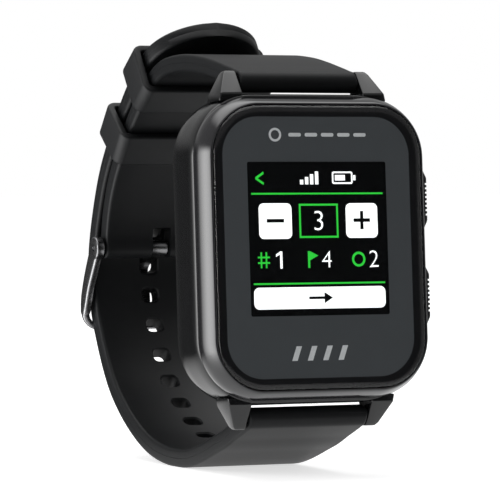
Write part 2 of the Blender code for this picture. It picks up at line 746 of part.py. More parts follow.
def button_outline():
    """Side view of a button head: sloping ends and a row of ribs between them."""
    flat = BUTTON_HALF_L - BUTTON_END_SLOPE
    outline = [(BUTTON_IN, -BUTTON_HALF_L), (BUTTON_OUT - 0.75 * MM, -BUTTON_HALF_L), (BUTTON_OUT, -flat)]
    groove = RIB_PITCH * 0.45
    for index in range(RIB_COUNT):
        z = (index - (RIB_COUNT - 1) / 2) * RIB_PITCH
        outline.append((BUTTON_OUT, z - groove / 2))
        outline.append((BUTTON_OUT - RIB_DEPTH, z - groove / 4))
        outline.append((BUTTON_OUT - RIB_DEPTH, z + groove / 4))
        outline.append((BUTTON_OUT, z + groove / 2))
    outline += [(BUTTON_OUT, flat), (BUTTON_OUT - 0.75 * MM, BUTTON_HALF_L), (BUTTON_IN, BUTTON_HALF_L)]
    return outline


def build_button(name, end):
    """Button head with its stem, O-ring and E-clip; the origin is on the stem's axis."""
    z = end * BUTTON_Z
    centre = Vector((BUTTON_IN, BUTTON_Y, z))
    outline = [(x, height + z) for x, height in button_outline()]
    head = flat_part(name, [outline], BUTTON_Y - BUTTON_HALF_D, BUTTON_Y + BUTTON_HALF_D, CASE_BLACK)
    move_origin(head, centre)
    groove = 0.55 * MM
    profile = (
        (0.0, 1.0 * MM), (STEM_RADIUS, 1.0 * MM), (STEM_RADIUS, CLIP_X - BUTTON_IN + groove / 2),
        (0.42 * MM, CLIP_X - BUTTON_IN + groove / 2), (0.42 * MM, CLIP_X - BUTTON_IN - groove / 2),
        (STEM_RADIUS, CLIP_X - BUTTON_IN - groove / 2), (STEM_RADIUS, STEM_END - BUTTON_IN),
        (0.0, STEM_END - BUTTON_IN),
    )
    stem = turned(f"{name}_stem", profile, centre, ACROSS_AXIS, None, collection=CUTTERS)
    join(head, as_cutter(stem))
    seal_profile = []
    for step in range(8):
        angle = -2 * math.pi * step / 8
        seal_profile.append((0.86 * MM + 0.2 * MM * math.cos(angle), 0.2 * MM * math.sin(angle)))
    turned(f"{name}_seal", seal_profile, (17.3 * MM, BUTTON_Y, z), ACROSS_AXIS, SEAL, closed=True)
    clip_profile = (
        (0.5 * MM, 0.12 * MM), (1.1 * MM, 0.12 * MM), (1.1 * MM, -0.12 * MM), (0.5 * MM, -0.12 * MM),
    )
    clip = turned(f"{name}_clip", clip_profile, (CLIP_X, BUTTON_Y, z), ACROSS_AXIS, STEEL, closed=True)
    mouth_low = (CLIP_X - MM, BUTTON_Y, z - 0.38 * MM)
    mouth_high = (CLIP_X + MM, BUTTON_Y + 3 * MM, z + 0.38 * MM)
    mouth = block(f"{name}_clip_mouth", mouth_low, mouth_high, None, CUTTERS)
    cut(clip, as_cutter(mouth))


def move_origin(item, centre):
    """Put an object's origin at a world point without moving its shape."""
    item.data.transform(Matrix.Translation(-centre) @ item.matrix_world)
    item.matrix_world = Matrix.Translation(centre)


# ---------------------------------------------------------------- spring bars

def build_spring_bar(name, centre, sizes):
    """A tube, a coil and two sprung pins along x."""
    tube_radius, bore, tube_half, pin_radius, pin_tip, flange_x, pin_inner = sizes
    profile = (
        (tube_radius - 0.05 * MM, tube_half), (tube_radius, tube_half - 0.1 * MM),
        (tube_radius, -tube_half + 0.1 * MM), (tube_radius - 0.05 * MM, -tube_half),
        (bore, -tube_half), (bore, tube_half),
    )
    turned(name, profile, centre, ACROSS_AXIS, STEEL, closed=True)
    for side_name, turn in (("left", ACROSS_AXIS @ Matrix.Rotation(math.pi, 4, "X")), ("right", ACROSS_AXIS)):
        flange = pin_radius + 0.22 * MM
        pin_profile = (
            (0.0, pin_tip), (pin_radius - 0.12 * MM, pin_tip), (pin_radius, pin_tip - 0.15 * MM),
            (pin_radius, flange_x + 0.25 * MM), (flange, flange_x + 0.25 * MM), (flange, flange_x),
            (pin_radius, flange_x), (pin_radius, pin_inner), (0.0, pin_inner),
        )
        turned(f"{name}_{side_name}_pin", pin_profile, centre, turn, STEEL, steps=14)
    build_coil(f"{name}_coil", centre, bore - 0.17 * MM, pin_inner - 1.4 * MM)


def build_coil(name, centre, radius, half_length):
    """The compression spring inside a spring bar."""
    turns = 7
    points_per_turn = 8
    curve = bpy.data.curves.new(name, "CURVE")
    curve.dimensions = "3D"
    curve.bevel_depth = 0.08 * MM
    curve.bevel_resolution = 0
    curve.use_fill_caps = True
    spline = curve.splines.new("POLY")
    total = turns * points_per_turn
    spline.points.add(total)
    for index, point in enumerate(spline.points):
        angle = 2 * math.pi * index / points_per_turn
        x = -half_length + 2 * half_length * index / total
        point.co = (x, radius * math.cos(angle), radius * math.sin(angle), 1.0)
    item = bpy.data.objects.new(name, curve)
    PARTS.objects.link(item)
    item.location = centre
    curve.materials.append(STEEL)


# ---------------------------------------------------------------- straps

def tail_path():
    """Centre line of the strap half with the holes."""
    return smooth_path(TAIL_PATH)


def build_tail_strap():
    """Strap half with the holes, from the lower spring bar round to its free end."""
    path = tail_path()
    length = path_length(path)
    sections = []
    distances = [length * step / TAIL_STATIONS for step in range(TAIL_STATIONS)]
    distances += [length - TIP_LENGTH * part for part in (0.22, 0.1, 0.035, 0.0)]
    distances = sorted(set(distances))
    for distance in distances:
        point, tangent, normal = path_frame(path, distance)
        along = distance / length
        half_w = STRAP_HALF_W + (STRAP_HALF_W_BUCKLE - STRAP_HALF_W) * eased(along * 2)
        thickness = TAIL_THICKNESS + TAIL_SWELL * (1 - eased(distance / SWELL_LENGTH))
        left = length - distance
        if left < TIP_LENGTH:
            rounding = 1 - left / TIP_LENGTH
            half_w *= max(math.sqrt(1 - rounding ** 2), 0.12)
            thickness *= 1 - 0.25 * rounding
        sections.append(band_section(point, normal, half_w, thickness, STRAP_EDGE))
    strap = loft("tail_strap", sections, RUBBER)
    add_round_end(strap, "tail", path, EYELET_BORE, END_RADIUS, STRAP_HALF_W)
    tongue_distance = distance_at_height(path, TONGUE_HOLE_Z, BUCKLE_BAR[0])
    shape = bmesh.new()
    for index in range(-HOLES_BEFORE, HOLES_AFTER + 1):
        point, tangent, normal = path_frame(path, tongue_distance + index * HOLE_PITCH)
        frame = Matrix((Vector((1, 0, 0)), tangent, normal)).transposed().to_4x4()
        made = bmesh.ops.create_cube(shape, size=1.0)["verts"]
        size = (HOLE_ACROSS, HOLE_ALONG) if index else (TONGUE_HOLE_ACROSS, TONGUE_HOLE_ALONG)
        bmesh.ops.scale(shape, vec=(*size, 8 * MM), verts=made)
        uprights = [edge for edge in {e for v in made for e in v.link_edges}
                    if abs((edge.verts[0].co - edge.verts[1].co).z) > MM]
        rounded = bmesh.ops.bevel(shape, geom=uprights, offset=HOLE_ROUND, segments=2, affect="EDGES",
                                  profile=0.5)
        made = set(rounded["verts"]) | {v for v in made if v.is_valid}
        bmesh.ops.transform(shape, matrix=Matrix.Translation(point) @ frame, verts=list(made))
    holes = object_from_bmesh("tail_holes", shape, None, CUTTERS)
    cut(strap, as_cutter(holes))


def add_round_end(strap, name, path, bore_radius, end_radius, half_w):
    """Round end with a bore for the spring bar at the start of a strap's path."""
    centre = path[0]
    knuckle = rod(f"{name}_end", centre, end_radius, 2 * half_w, ACROSS_AXIS, None, CUTTERS, 24)
    join(strap, as_cutter(knuckle))
    bore = rod(f"{name}_bore", centre, bore_radius, 4 * half_w, ACROSS_AXIS, None, CUTTERS, 20)
    cut(strap, as_cutter(bore))


def build_buckle_strap():
    """Strap half from the upper spring bar to the buckle."""
    path = smooth_path(BUCKLE_STRAP_PATH)
    length = path_length(path)
    sections = []
    for step in range(STRAP_STATIONS + 1):
        distance = length * step / STRAP_STATIONS
        point, tangent, normal = path_frame(path, distance)
        along = distance / length
        half_w = STRAP_HALF_W + (STRAP_HALF_W_BUCKLE - STRAP_HALF_W) * along
        thickness = STRAP_THICKNESS + STRAP_SWELL * (1 - eased(distance / SWELL_LENGTH))
        sections.append(band_section(point, normal, half_w, thickness, STRAP_EDGE))
    strap = loft("buckle_strap", sections, RUBBER)
    add_round_end(strap, "buckle_strap", path, EYELET_BORE, END_RADIUS, STRAP_HALF_W)
    path.reverse()
    add_round_end(strap, "buckle_strap_far", path, EYELET_BORE, BUCKLE_END_RADIUS, STRAP_HALF_W_BUCKLE)
    slot = block(
        "tongue_slot",
        (-TONGUE_SLOT_HALF, BUCKLE_BAR[0] - 8 * MM, BUCKLE_BAR[1] - 5 * MM),
        (TONGUE_SLOT_HALF, BUCKLE_BAR[0] + 5 * MM, BUCKLE_BAR[1] + TONGUE_SLOT_LENGTH), None, CUTTERS,
    )
    cut(strap, as_cutter(slot))


def build_keeper(name):
    """A ring round both straps, square to the tail where the two halves lie together."""
    tail = tail_path()
    height = KEEPER_HEIGHTS[name] * MM
    point, tangent, normal = path_frame(tail, distance_at_height(tail, height, 10 * MM))
    centre = point - normal * KEEPER_SINK
    tilt = math.atan2(-tangent.z, -tangent.y)
    outer = rounded_rectangle(
        KEEPER_OPEN_HALF_W + KEEPER_WALL, KEEPER_OPEN_HALF_T + KEEPER_WALL, KEEPER_CORNER + KEEPER_WALL, 5
    )
    opening = rounded_rectangle(KEEPER_OPEN_HALF_W, KEEPER_OPEN_HALF_T, KEEPER_CORNER, 5)
    keeper = flat_part(name, [outer, opening], -KEEPER_LENGTH / 2, KEEPER_LENGTH / 2, RUBBER)
    bevel(keeper, 0.3 * MM, 1)
    keeper.data.transform(keeper.matrix_world)
    keeper.matrix_world = Matrix.Translation(centre) @ Matrix.Rotation(tilt, 4, "X")


# ---------------------------------------------------------------- buckle

def build_buckle_frame():
    """U-shaped frame: two arms with eyes, rounded corners and a front bar."""
    frame = loft("buckle_frame", buckle_sections(), STEEL)
    for side in (1, -1):
        eye = rod(
            f"buckle_eye_{side}", (side * (ARM_IN + ARM_OUT) / 2, *BUCKLE_BAR), EYE_RADIUS,
            ARM_OUT - ARM_IN, ACROSS_AXIS, None, CUTTERS, 20,
        )
        join(frame, as_cutter(eye))
    hole = rod("buckle_eye_hole", (0, *BUCKLE_BAR), EYE_HOLE, 3 * ARM_OUT, ACROSS_AXIS, None, CUTTERS, 16)
    cut(frame, as_cutter(hole))
    move_origin(frame, Vector((0, *BUCKLE_BAR)))


def buckle_sections():
    """Oval sections along the left arm, round the corner, across the bar and back up."""
    steps = 3
    arm = smooth_path(ARM_PATH, steps)
    arm_x = (ARM_IN + ARM_OUT) / 2
    half_thick = (ARM_OUT - ARM_IN) / 2
    stations = []
    for index, point in enumerate(arm):
        span = min(index // steps, len(ARM_HALF_WIDTHS) - 2)
        part = index / steps - span
        half_wide = MM * (ARM_HALF_WIDTHS[span] * (1 - part) + ARM_HALF_WIDTHS[span + 1] * part)
        stations.append((Vector((-arm_x, point.y, point.z)), half_thick, half_wide))
    bar_y, bar_z = FRONT_BAR
    start = arm[-1]
    for step in range(1, 5):
        angle = math.pi / 2 * step / 5
        across = half_thick + (FRONT_BAR_HALF_HEIGHT - half_thick) * step / 5
        x = -arm_x + BUCKLE_CORNER * (1 - math.cos(angle))
        z = start.z + (bar_z - start.z) * math.sin(angle)
        y = start.y + (bar_y - start.y) * math.sin(angle)
        stations.append((Vector((x, y, z)), across, FRONT_BAR_RADIUS))
    for part in (0.0, 0.5):
        x = (-arm_x + BUCKLE_CORNER) * (1 - part)
        stations.append((Vector((x, bar_y, bar_z)), FRONT_BAR_HALF_HEIGHT, FRONT_BAR_RADIUS))
    mirrored = [(Vector((-point.x, point.y, point.z)), a, b) for point, a, b in reversed(stations)]
    stations.append((Vector((0, bar_y, bar_z)), FRONT_BAR_HALF_HEIGHT, FRONT_BAR_RADIUS))
    stations += mirrored
    centres = [station[0] for station in stations]
    sections = []
    for index, (centre, half_across, half_along) in enumerate(stations):
        before = centres[max(index - 1, 0)]
        after = centres[min(index + 1, len(centres) - 1)]
        tangent = (after - before).normalized()
        outward = Vector((0.0, 0.83, 0.56))
        outward = (outward - tangent * outward.dot(tangent)).normalized()
        sideways = tangent.cross(outward)
        ring = []
        for corner in range(12):
            angle = 2 * math.pi * corner / 12
            reach = outward * half_along * math.cos(angle)
            ring.append(centre + reach + sideways * half_across * math.sin(angle))
        sections.append(ring)
    return sections


def build_tongue():
    """Buckle tongue: barrel on the bar, shank through the strap hole, tip on the front bar."""
    path = smooth_path(TONGUE_PATH, steps=4)
    length = path_length(path)
    sections = []
    steps = 16
    for step in range(steps + 1):
        distance = length * step / steps
        point, tangent, normal = path_frame(path, distance)
        narrowing = 1 - 0.25 * eased((distance / length - 0.75) * 4)
        spread = TONGUE_SPREAD * eased((distance / length - 0.45) * 10)
        half_w = (TONGUE_HALF_W + spread) * narrowing
        sections.append(band_section(point, normal, half_w, TONGUE_THICKNESS, TONGUE_ROUND))
    tongue = loft("buckle_tongue", sections, STEEL)
    barrel = rod("tongue_barrel", (0, *BUCKLE_BAR), BARREL_RADIUS, 2 * BARREL_HALF_W, ACROSS_AXIS, None,
                 CUTTERS, 24)
    join(tongue, as_cutter(barrel))
    bore = rod("tongue_bore", (0, *BUCKLE_BAR), BARREL_BORE, 4 * BARREL_HALF_W, ACROSS_AXIS, None,
               CUTTERS, 18)
    cut(tongue, as_cutter(bore))
    move_origin(tongue, Vector((0, *BUCKLE_BAR)))


# ---------------------------------------------------------------- assembly

def build_watch():
    """Everything, case first."""
    build_mid_case()
    build_bezel()
    build_glass()
    build_glass_gasket()
    build_display_stack()
    build_board()
    build_battery()
    build_inner_frame()
    build_back_cover()
    build_back_gasket()
    build_screws()
    build_contacts()
    build_button("upper_button", 1)
    build_button("lower_button", -1)
    lug_bar = (BAR_TUBE_RADIUS, BAR_BORE_RADIUS, BAR_TUBE_HALF, BAR_PIN_RADIUS, BAR_PIN_TIP, BAR_FLANGE_X,
               BAR_PIN_INNER)
    build_spring_bar("upper_spring_bar", (0, BAR_Y, BAR_Z), lug_bar)
    build_spring_bar("lower_spring_bar", (0, BAR_Y, -BAR_Z), lug_bar)
    buckle_bar = (BUCKLE_TUBE_RADIUS, BUCKLE_TUBE_BORE, BUCKLE_TUBE_HALF, BUCKLE_PIN_RADIUS,
                  BUCKLE_PIN_TIP, BUCKLE_FLANGE_X, BUCKLE_PIN_INNER)
    build_spring_bar("buckle_bar", (0, *BUCKLE_BAR), buckle_bar)
    build_tail_strap()
    build_buckle_strap()
    build_keeper("free_keeper")
    build_keeper("fixed_keeper")
    build_buckle_frame()
    build_tongue()


build_watch()
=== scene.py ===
"""Looks of the golf GPS watch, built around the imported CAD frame.

Frame as in the CAD: +Y out of the back cover, +Z towards 12 o'clock, +X towards the buttons, metres.
"""

import math

import bmesh
import bpy
from mathutils import Matrix, Vector
from mathutils.geometry import interpolate_bezier


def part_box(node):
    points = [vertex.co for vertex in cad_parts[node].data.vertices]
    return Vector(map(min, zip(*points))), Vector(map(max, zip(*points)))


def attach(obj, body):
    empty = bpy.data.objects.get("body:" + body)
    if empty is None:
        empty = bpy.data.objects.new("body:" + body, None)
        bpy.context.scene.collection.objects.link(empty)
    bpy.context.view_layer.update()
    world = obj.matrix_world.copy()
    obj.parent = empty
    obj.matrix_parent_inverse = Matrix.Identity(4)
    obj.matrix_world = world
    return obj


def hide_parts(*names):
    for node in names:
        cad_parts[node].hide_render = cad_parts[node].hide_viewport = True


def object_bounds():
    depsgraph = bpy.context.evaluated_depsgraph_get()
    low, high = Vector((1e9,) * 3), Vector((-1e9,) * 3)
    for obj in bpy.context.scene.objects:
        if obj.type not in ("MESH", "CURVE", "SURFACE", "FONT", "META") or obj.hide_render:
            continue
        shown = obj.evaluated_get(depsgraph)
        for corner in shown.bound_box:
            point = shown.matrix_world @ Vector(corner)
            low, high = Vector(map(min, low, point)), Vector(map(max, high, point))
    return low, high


MM = 0.001
WELD = 0.0005 * MM              # points closer than this become one
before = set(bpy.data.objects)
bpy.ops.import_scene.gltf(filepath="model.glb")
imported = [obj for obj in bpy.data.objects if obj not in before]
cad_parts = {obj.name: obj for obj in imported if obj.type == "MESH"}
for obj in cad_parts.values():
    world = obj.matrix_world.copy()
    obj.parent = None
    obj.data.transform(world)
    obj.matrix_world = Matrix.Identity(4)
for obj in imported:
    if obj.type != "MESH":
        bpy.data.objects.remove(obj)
CAD_LOW, CAD_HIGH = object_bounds()

# Sizes read from the frame
GLASS_LOW, GLASS_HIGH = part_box("cover_glass")
BEZEL_LOW, BEZEL_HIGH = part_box("front_bezel")
CASE_LOW, CASE_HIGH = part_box("mid_case")
COVER_LOW, COVER_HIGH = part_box("back_cover")
PANEL_LOW, PANEL_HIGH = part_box("display_panel")

# Case, front to back
CORNER_STEPS = 28
COVER_INSET = 1.45 * MM
COVER_LAP = 0.15 * MM           # the cover's edge over the case's seat
COVER_SEAT_Y = -2.0 * MM
GROOVE_INSET = 2.2 * MM
CASE_HALF_W = CASE_HIGH.x
CASE_HALF_H = COVER_HIGH.z + COVER_INSET
CASE_CORNER = 10.2 * MM
CASE_FRONT = BEZEL_HIGH.y + 0.3 * MM
CASE_REAR = COVER_HIGH.y - 0.3 * MM
CASE_WALL = 2.5 * MM
RIM_INSET = 0.4 * MM
RIM_DEPTH = 2.6 * MM
REAR_INSET = 0.25 * MM
REAR_CHAMFER = 0.35 * MM
REAR_CURVE = 2.5 * MM           # depth over which the side turns in at the rear
BEZEL_CORNER = 9.3 * MM
BEZEL_LIP = 1.38 * MM
GLASS_CORNER = 7.6 * MM
GLASS_EDGE_WIDTH = 1.3 * MM
GLASS_EDGE_DROP = 0.6 * MM
GLASS_THICKNESS = 1.0 * MM
# Width of the near-black band under the curved glass edge, a painted dark reflection; the grey print starts
# inside it
REFLECTION_BAND_WIDTH = 1.7 * MM
STRAP_GAP = 20.4 * MM
LUG_TIP_Z = CASE_HIGH.z
BAR_Y = -5.2 * MM
BAR_Z = 25.75 * MM
BAR_HOLE_RADIUS = 0.5 * MM
LUG_EDGE = 0.22 * MM
GLASS_IOR = 1.45
PRINT_DEPTH = 0.03 * MM         # print below the rear face of the glass
PRINT_LAYER = 0.01 * MM

# Display
DISPLAY_SIDE = 23.4 * MM
DISPLAY_Z = (PANEL_LOW.z + PANEL_HIGH.z) / 2 + 0.5 * MM
DISPLAY_Y = -11.93 * MM
DISPLAY_LAYER = 0.018 * MM
DIGIT_THINNING = -0.05 * MM
DIGIT_DEPTH = 0.003 * MM

# Buttons
BUTTON_LOW, BUTTON_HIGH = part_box("upper_button")
BUTTON_Z = (BUTTON_LOW.z + BUTTON_HIGH.z) / 2
BUTTON_Y = (BUTTON_LOW.y + BUTTON_HIGH.y) / 2
BUTTON_HALF_L = (BUTTON_HIGH.z - BUTTON_LOW.z) / 2
BUTTON_HALF_D = (BUTTON_HIGH.y - BUTTON_LOW.y) / 2
BUTTON_OUT = BUTTON_HIGH.x
BUTTON_IN = 18.55 * MM
BUTTON_END_SLOPE = 1.5 * MM
RIB_PITCH = 0.68 * MM
RIB_COUNT = 8
RIB_GROOVE_HALF = 0.22 * RIB_PITCH
RIB_DEPTH = 0.35 * MM
POCKET_FLOOR = 18.05 * MM
POCKET_MARGIN = 0.15 * MM
BUTTON_SHOULDER = 0.75 * MM     # how far the sloping ends drop
BUTTON_EDGE = 0.22 * MM
STEM_RADIUS = 0.6 * MM
STEM_BORE_RADIUS = 1.1 * MM

# Strap: the same centre lines as the CAD, (y, z) in millimetres
TAIL_PATH = (
    (-5.2, -25.75), (-0.6, -27.35), (5.5, -29.3), (19.2, -31.8), (33.5, -29.35), (45.8, -21.3),
    (52.45, -10.7), (54.4, -3.0), (53.5, 4.5), (48.95, 14.4), (42.6, 22.0), (38.75, 25.7),
    (35.3, 28.5), (29.95, 31.95), (22.4, 36.6),
)
BUCKLE_STRAP_PATH = (
    (-5.2, 25.75), (-1.6, 26.9), (3.0, 28.3), (9.0, 29.6), (16.5, 30.5), (24.2, 30.1), (30.6, 27.3),
    (36.3, 23.0), (39.9, 19.6), (44.75, 13.9), (47.6, 8.4), (49.0, 2.8),
)
STRAP_HALF_W = 9.95 * MM
STRAP_HALF_W_BUCKLE = 9.9 * MM
TAIL_THICKNESS = 3.0 * MM
STRAP_THICKNESS = 2.8 * MM
TAIL_SWELL = 0.4 * MM
STRAP_SWELL = 0.5 * MM
SWELL_LENGTH = 9.0 * MM
BUCKLE_SWELL_LENGTH = 2.2 * MM
END_RADIUS = 1.7 * MM
BUCKLE_END_RADIUS = 1.75 * MM
EYELET_BORE = 0.9 * MM
BORE_LENGTH = 40 * MM           # any length past the strap's width
TIP_LENGTH = 8.6 * MM
HOLE_PITCH = 5.75 * MM
HOLE_ALONG = 2.3 * MM
HOLE_ACROSS = 2.9 * MM
TONGUE_HOLE_ALONG = 3.5 * MM
TONGUE_HOLE_ACROSS = 3.1 * MM
HOLE_RIM = 0.22 * MM
HOLE_CORNER = 0.85 * MM
HOLES_BEFORE = 7
HOLES_AFTER = 4
TONGUE_HOLE_Z = 0.6 * MM
TONGUE_SLOT_HALF = 1.65 * MM
TONGUE_SLOT_LENGTH = 3.2 * MM
KEEPER_LENGTH = 5.8 * MM
KEEPER_WALL = 1.25 * MM
KEEPER_OPEN_HALF_W = 10.3 * MM
KEEPER_OPEN_HALF_T = 3.5 * MM
KEEPER_SINK = 1.82 * MM
KEEPER_ROUND = 1.7 * MM
KEEPER_EDGE = 0.4 * MM
KEEPER_INNER_EDGE = 0.25 * MM
KEEPER_HEIGHTS = {"free_keeper": 30.8, "fixed_keeper": 22.4}

# Buckle
BUCKLE_BAR = (49.0 * MM, 2.8 * MM)
ARM_IN = 10.3 * MM
ARM_OUT = 11.6 * MM
EYE_RADIUS = 1.85 * MM
ARM_PATH = ((49.0, 2.8), (51.0, 0.0), (52.5, -2.3), (53.6, -4.4), (54.2, -6.0), (54.7, -7.6))
ARM_HALF_WIDTHS = (1.6, 1.5, 1.35, 1.3, 1.0, 0.65)
FRONT_BAR = (55.1 * MM, -10.0 * MM)
FRONT_BAR_RADIUS = 0.65 * MM
BUCKLE_CORNER = 2.6 * MM
FRONT_BAR_HALF_HEIGHT = 0.45 * MM
TONGUE_PATH = (
    (49.0, 2.8), (51.4, 1.8), (53.9, 1.0), (55.9, 0.35), (56.75, -1.3), (56.4, -5.0), (56.4, -10.9),
)
TONGUE_HALF_W = 1.35 * MM
TONGUE_SPREAD = 0.15 * MM      # wider again where it lies on the strap
TONGUE_THICKNESS = 0.85 * MM
BARREL_HALF_W = 1.4 * MM
BARREL_RADIUS = 1.25 * MM
BARREL_BORE = 0.72 * MM
EYE_EDGE = 0.2 * MM

# Camera: azimuth 0 looks along +Y
CAMERA_AZIMUTH = math.radians(-25.04)
CAMERA_ELEVATION = math.radians(-2.18)
CAMERA_ROLL = math.radians(-1.66)
CAMERA_DISTANCE = 600 * MM
CAMERA_TARGET = Vector((-4.92, 2.30, 0.27)) * MM
CAMERA_LENS = 279.16
WATCH_LEAN = math.radians(3.9)
LOWEST_Y = 19 * MM              # where the strap touches the floor
FLOOR_GAP = 0.05 * MM

# Reflected studio at eye height: share of a turn from -X through -Y, +X and +Y back to -X, brightness
BRIGHTEST = 8.0
SWEEP_NEAR = 42 * MM
SWEEP_FAR = 95 * MM
STUDIO_HEIGHTS = ((0.15, 0.35, 0.4), (0.7, 0.85, 2.5))      # rising between two heights to a brightness
EVEN_LIGHT = 0.45
STUDIO_RING = (
    (0.0, 5.1), (0.056, 2.7), (0.083, 0.02), (0.347, 0.02), (0.39, 0.55), (0.64, 0.55), (0.667, 0.08),
    (0.84, 0.06), (0.875, 0.3), (0.92, 4.0), (0.945, 7.0), (1.0, 5.1),
)

DEPTH_AXIS = Matrix.Rotation(math.pi / 2, 4, "X")      # local +Z becomes world -Y, local +Y world +Z
ACROSS_AXIS = Matrix.Rotation(math.pi / 2, 4, "Y")     # local +Z becomes world +X
OUT_OF_BACK = Matrix.Rotation(-math.pi / 2, 4, "X")    # local +Z becomes world +Y


# ---------------------------------------------------------------- material helpers

def new_material(name):
    """A Principled material; returns it with its node tree and shader."""
    material = bpy.data.materials.new(name)
    material.use_nodes = True
    tree = material.node_tree
    return material, tree, tree.nodes["Principled BSDF"]


def add_node(tree, kind, **values):
    """A node with its inputs set by name, or its properties when no input has that name."""
    node = tree.nodes.new(kind)
    for key, value in values.items():
        label = key.replace("_", " ").title()
        if label in node.inputs:
            node.inputs[label].default_value = value
        else:
            setattr(node, key, value)
    return node


def wire(tree, source, node, socket):
    """Link an output to a node's named or numbered input."""
    tree.links.new(source, node.inputs[socket])


def compute(tree, operation, first, second):
    """Result of a math node; each operand is an output socket or a number."""
    node = add_node(tree, "ShaderNodeMath", operation=operation)
    for socket, operand in enumerate((first, second)):
        if isinstance(operand, (int, float)):
            node.inputs[socket].default_value = operand
        else:
            wire(tree, operand, node, socket)
    return node.outputs[0]


def mix_shaders(tree, amount, first, second, output):
    """Send a blend of two shaders to the material's output."""
    mix = add_node(tree, "ShaderNodeMixShader")
    wire(tree, amount, mix, "Fac")
    wire(tree, first.outputs["BSDF"], mix, 1)
    wire(tree, second.outputs["BSDF"], mix, 2)
    wire(tree, mix.outputs["Shader"], output, "Surface")


def object_coordinates(tree, scale=(1.0, 1.0, 1.0)):
    """Object coordinates in millimetres, with an optional stretch."""
    coordinates = add_node(tree, "ShaderNodeTexCoord")
    mapping = add_node(tree, "ShaderNodeMapping")
    mapping.inputs["Scale"].default_value = [value / MM for value in scale]
    wire(tree, coordinates.outputs["Object"], mapping, "Vector")
    return mapping.outputs["Vector"]


def noise(tree, vector, scale, detail=4.0, roughness=0.6):
    """Noise texture factor; scale is in waves per millimetre."""
    node = add_node(tree, "ShaderNodeTexNoise", scale=scale, detail=detail, roughness=roughness)
    wire(tree, vector, node, "Vector")
    return node.outputs["Fac"]


def spread(tree, factor, low, high):
    """Map a 0..1 factor to low..high."""
    node = add_node(tree, "ShaderNodeMapRange", to_min=low, to_max=high)
    wire(tree, factor, node, "Value")
    return node.outputs["Result"]


def smooth_step(tree, value, low, high):
    """A factor that rises smoothly from 0 at low to 1 at high."""
    node = add_node(tree, "ShaderNodeMapRange", interpolation_type="SMOOTHSTEP", from_min=low, from_max=high)
    wire(tree, value, node, "Value")
    return node.outputs["Result"]


def mix_colours(tree, factor, first, second):
    """Blend two colours by a factor."""
    node = add_node(tree, "ShaderNodeMix", data_type="RGBA")
    node.inputs[6].default_value = (*first, 1.0)
    node.inputs[7].default_value = (*second, 1.0)
    wire(tree, factor, node, "Factor")
    return node.outputs[2]


def bump(tree, height, strength, distance):
    """Bump normal from a height factor."""
    node = add_node(tree, "ShaderNodeBump", strength=strength, distance=distance)
    wire(tree, height, node, "Height")
    return node.outputs["Normal"]


def textured(name, dark, light, roughness, grain, metallic=0.0, stretch=(1.0, 1.0, 1.0), depth=0.01,
             strength=0.3, coat=0.0, specular=0.5):
    """The common surface: two shades, roughness range and a fine bump from noise."""
    material, tree, shader = new_material(name)
    vector = object_coordinates(tree, stretch)
    broad = noise(tree, vector, grain * 0.12, 3.0)
    fine = noise(tree, vector, grain, 5.0)
    wire(tree, mix_colours(tree, broad, dark, light), shader, "Base Color")
    wire(tree, spread(tree, fine, *roughness), shader, "Roughness")
    wire(tree, bump(tree, fine, strength, depth * MM), shader, "Normal")
    shader.inputs["Metallic"].default_value = metallic
    shader.inputs["Coat Weight"].default_value = coat
    shader.inputs["Coat Roughness"].default_value = 0.05
    shader.inputs["Specular IOR Level"].default_value = specular
    return material


def clear_glass_material():
    """Clear glass as a see-through layer that adds its reflection on the outside only."""
    material, tree, shader = new_material("clear_glass")
    tree.nodes.remove(shader)
    smudge = noise(tree, object_coordinates(tree), 0.15, 3.0)
    gloss = add_node(tree, "ShaderNodeBsdfGlossy")
    wire(tree, spread(tree, smudge, 0.02, 0.06), gloss, "Roughness")
    see_through = add_node(tree, "ShaderNodeBsdfTransparent")
    see_through.inputs["Color"].default_value = (0.97, 0.98, 0.98, 1.0)
    fresnel = add_node(tree, "ShaderNodeFresnel")
    fresnel.inputs["IOR"].default_value = GLASS_IOR
    side = add_node(tree, "ShaderNodeNewGeometry")
    outside = compute(tree, "SUBTRACT", 1.0, side.outputs["Backfacing"])
    amount = compute(tree, "MULTIPLY", fresnel.outputs["Fac"], outside)
    mix_shaders(tree, amount, see_through, gloss, tree.nodes["Material Output"])
    return material


def screen_material(name, colour, glow):
    """A lit part of the display, with a faint pixel grid."""
    material, tree, shader = new_material(name)
    vector = object_coordinates(tree)
    grid = add_node(tree, "ShaderNodeTexVoronoi", scale=9.0)
    wire(tree, vector, grid, "Vector")
    dim = tuple(value * 0.93 for value in colour)
    shade = mix_colours(tree, grid.outputs["Distance"], colour, dim)
    wire(tree, shade, shader, "Base Color")
    wire(tree, shade, shader, "Emission Color")
    shader.inputs["Emission Strength"].default_value = glow
    shader.inputs["Roughness"].default_value = 0.6
    shader.inputs["Specular IOR Level"].default_value = 0.1
    return material


GLOSS_BLACK = textured("gloss_black", (0.010, 0.010, 0.011), (0.014, 0.014, 0.016), (0.10, 0.17), 3.0,
                       depth=0.001, strength=0.08, coat=0.3)
CASE_BLACK = textured("case_black", (0.0050, 0.0052, 0.0056), (0.0075, 0.0078, 0.0084), (0.11, 0.16), 9.0,
                      depth=0.004, strength=0.25)
RUBBER = textured("strap_rubber", (0.0042, 0.0046, 0.0052), (0.0068, 0.0073, 0.0080), (0.40, 0.50),
                  7.0, depth=0.008, strength=0.3, specular=0.18)
KEEPER_RUBBER = textured("keeper_rubber", (0.0055, 0.0060, 0.0066), (0.0088, 0.0094, 0.0102),
                         (0.42, 0.54), 7.0, depth=0.008, strength=0.3, specular=0.25)
STEEL = textured("brushed_steel", (0.17, 0.17, 0.175), (0.26, 0.26, 0.265), (0.20, 0.36), 6.0, 1.0,
                 (0.12, 1.6, 1.6), 0.004, 0.25)
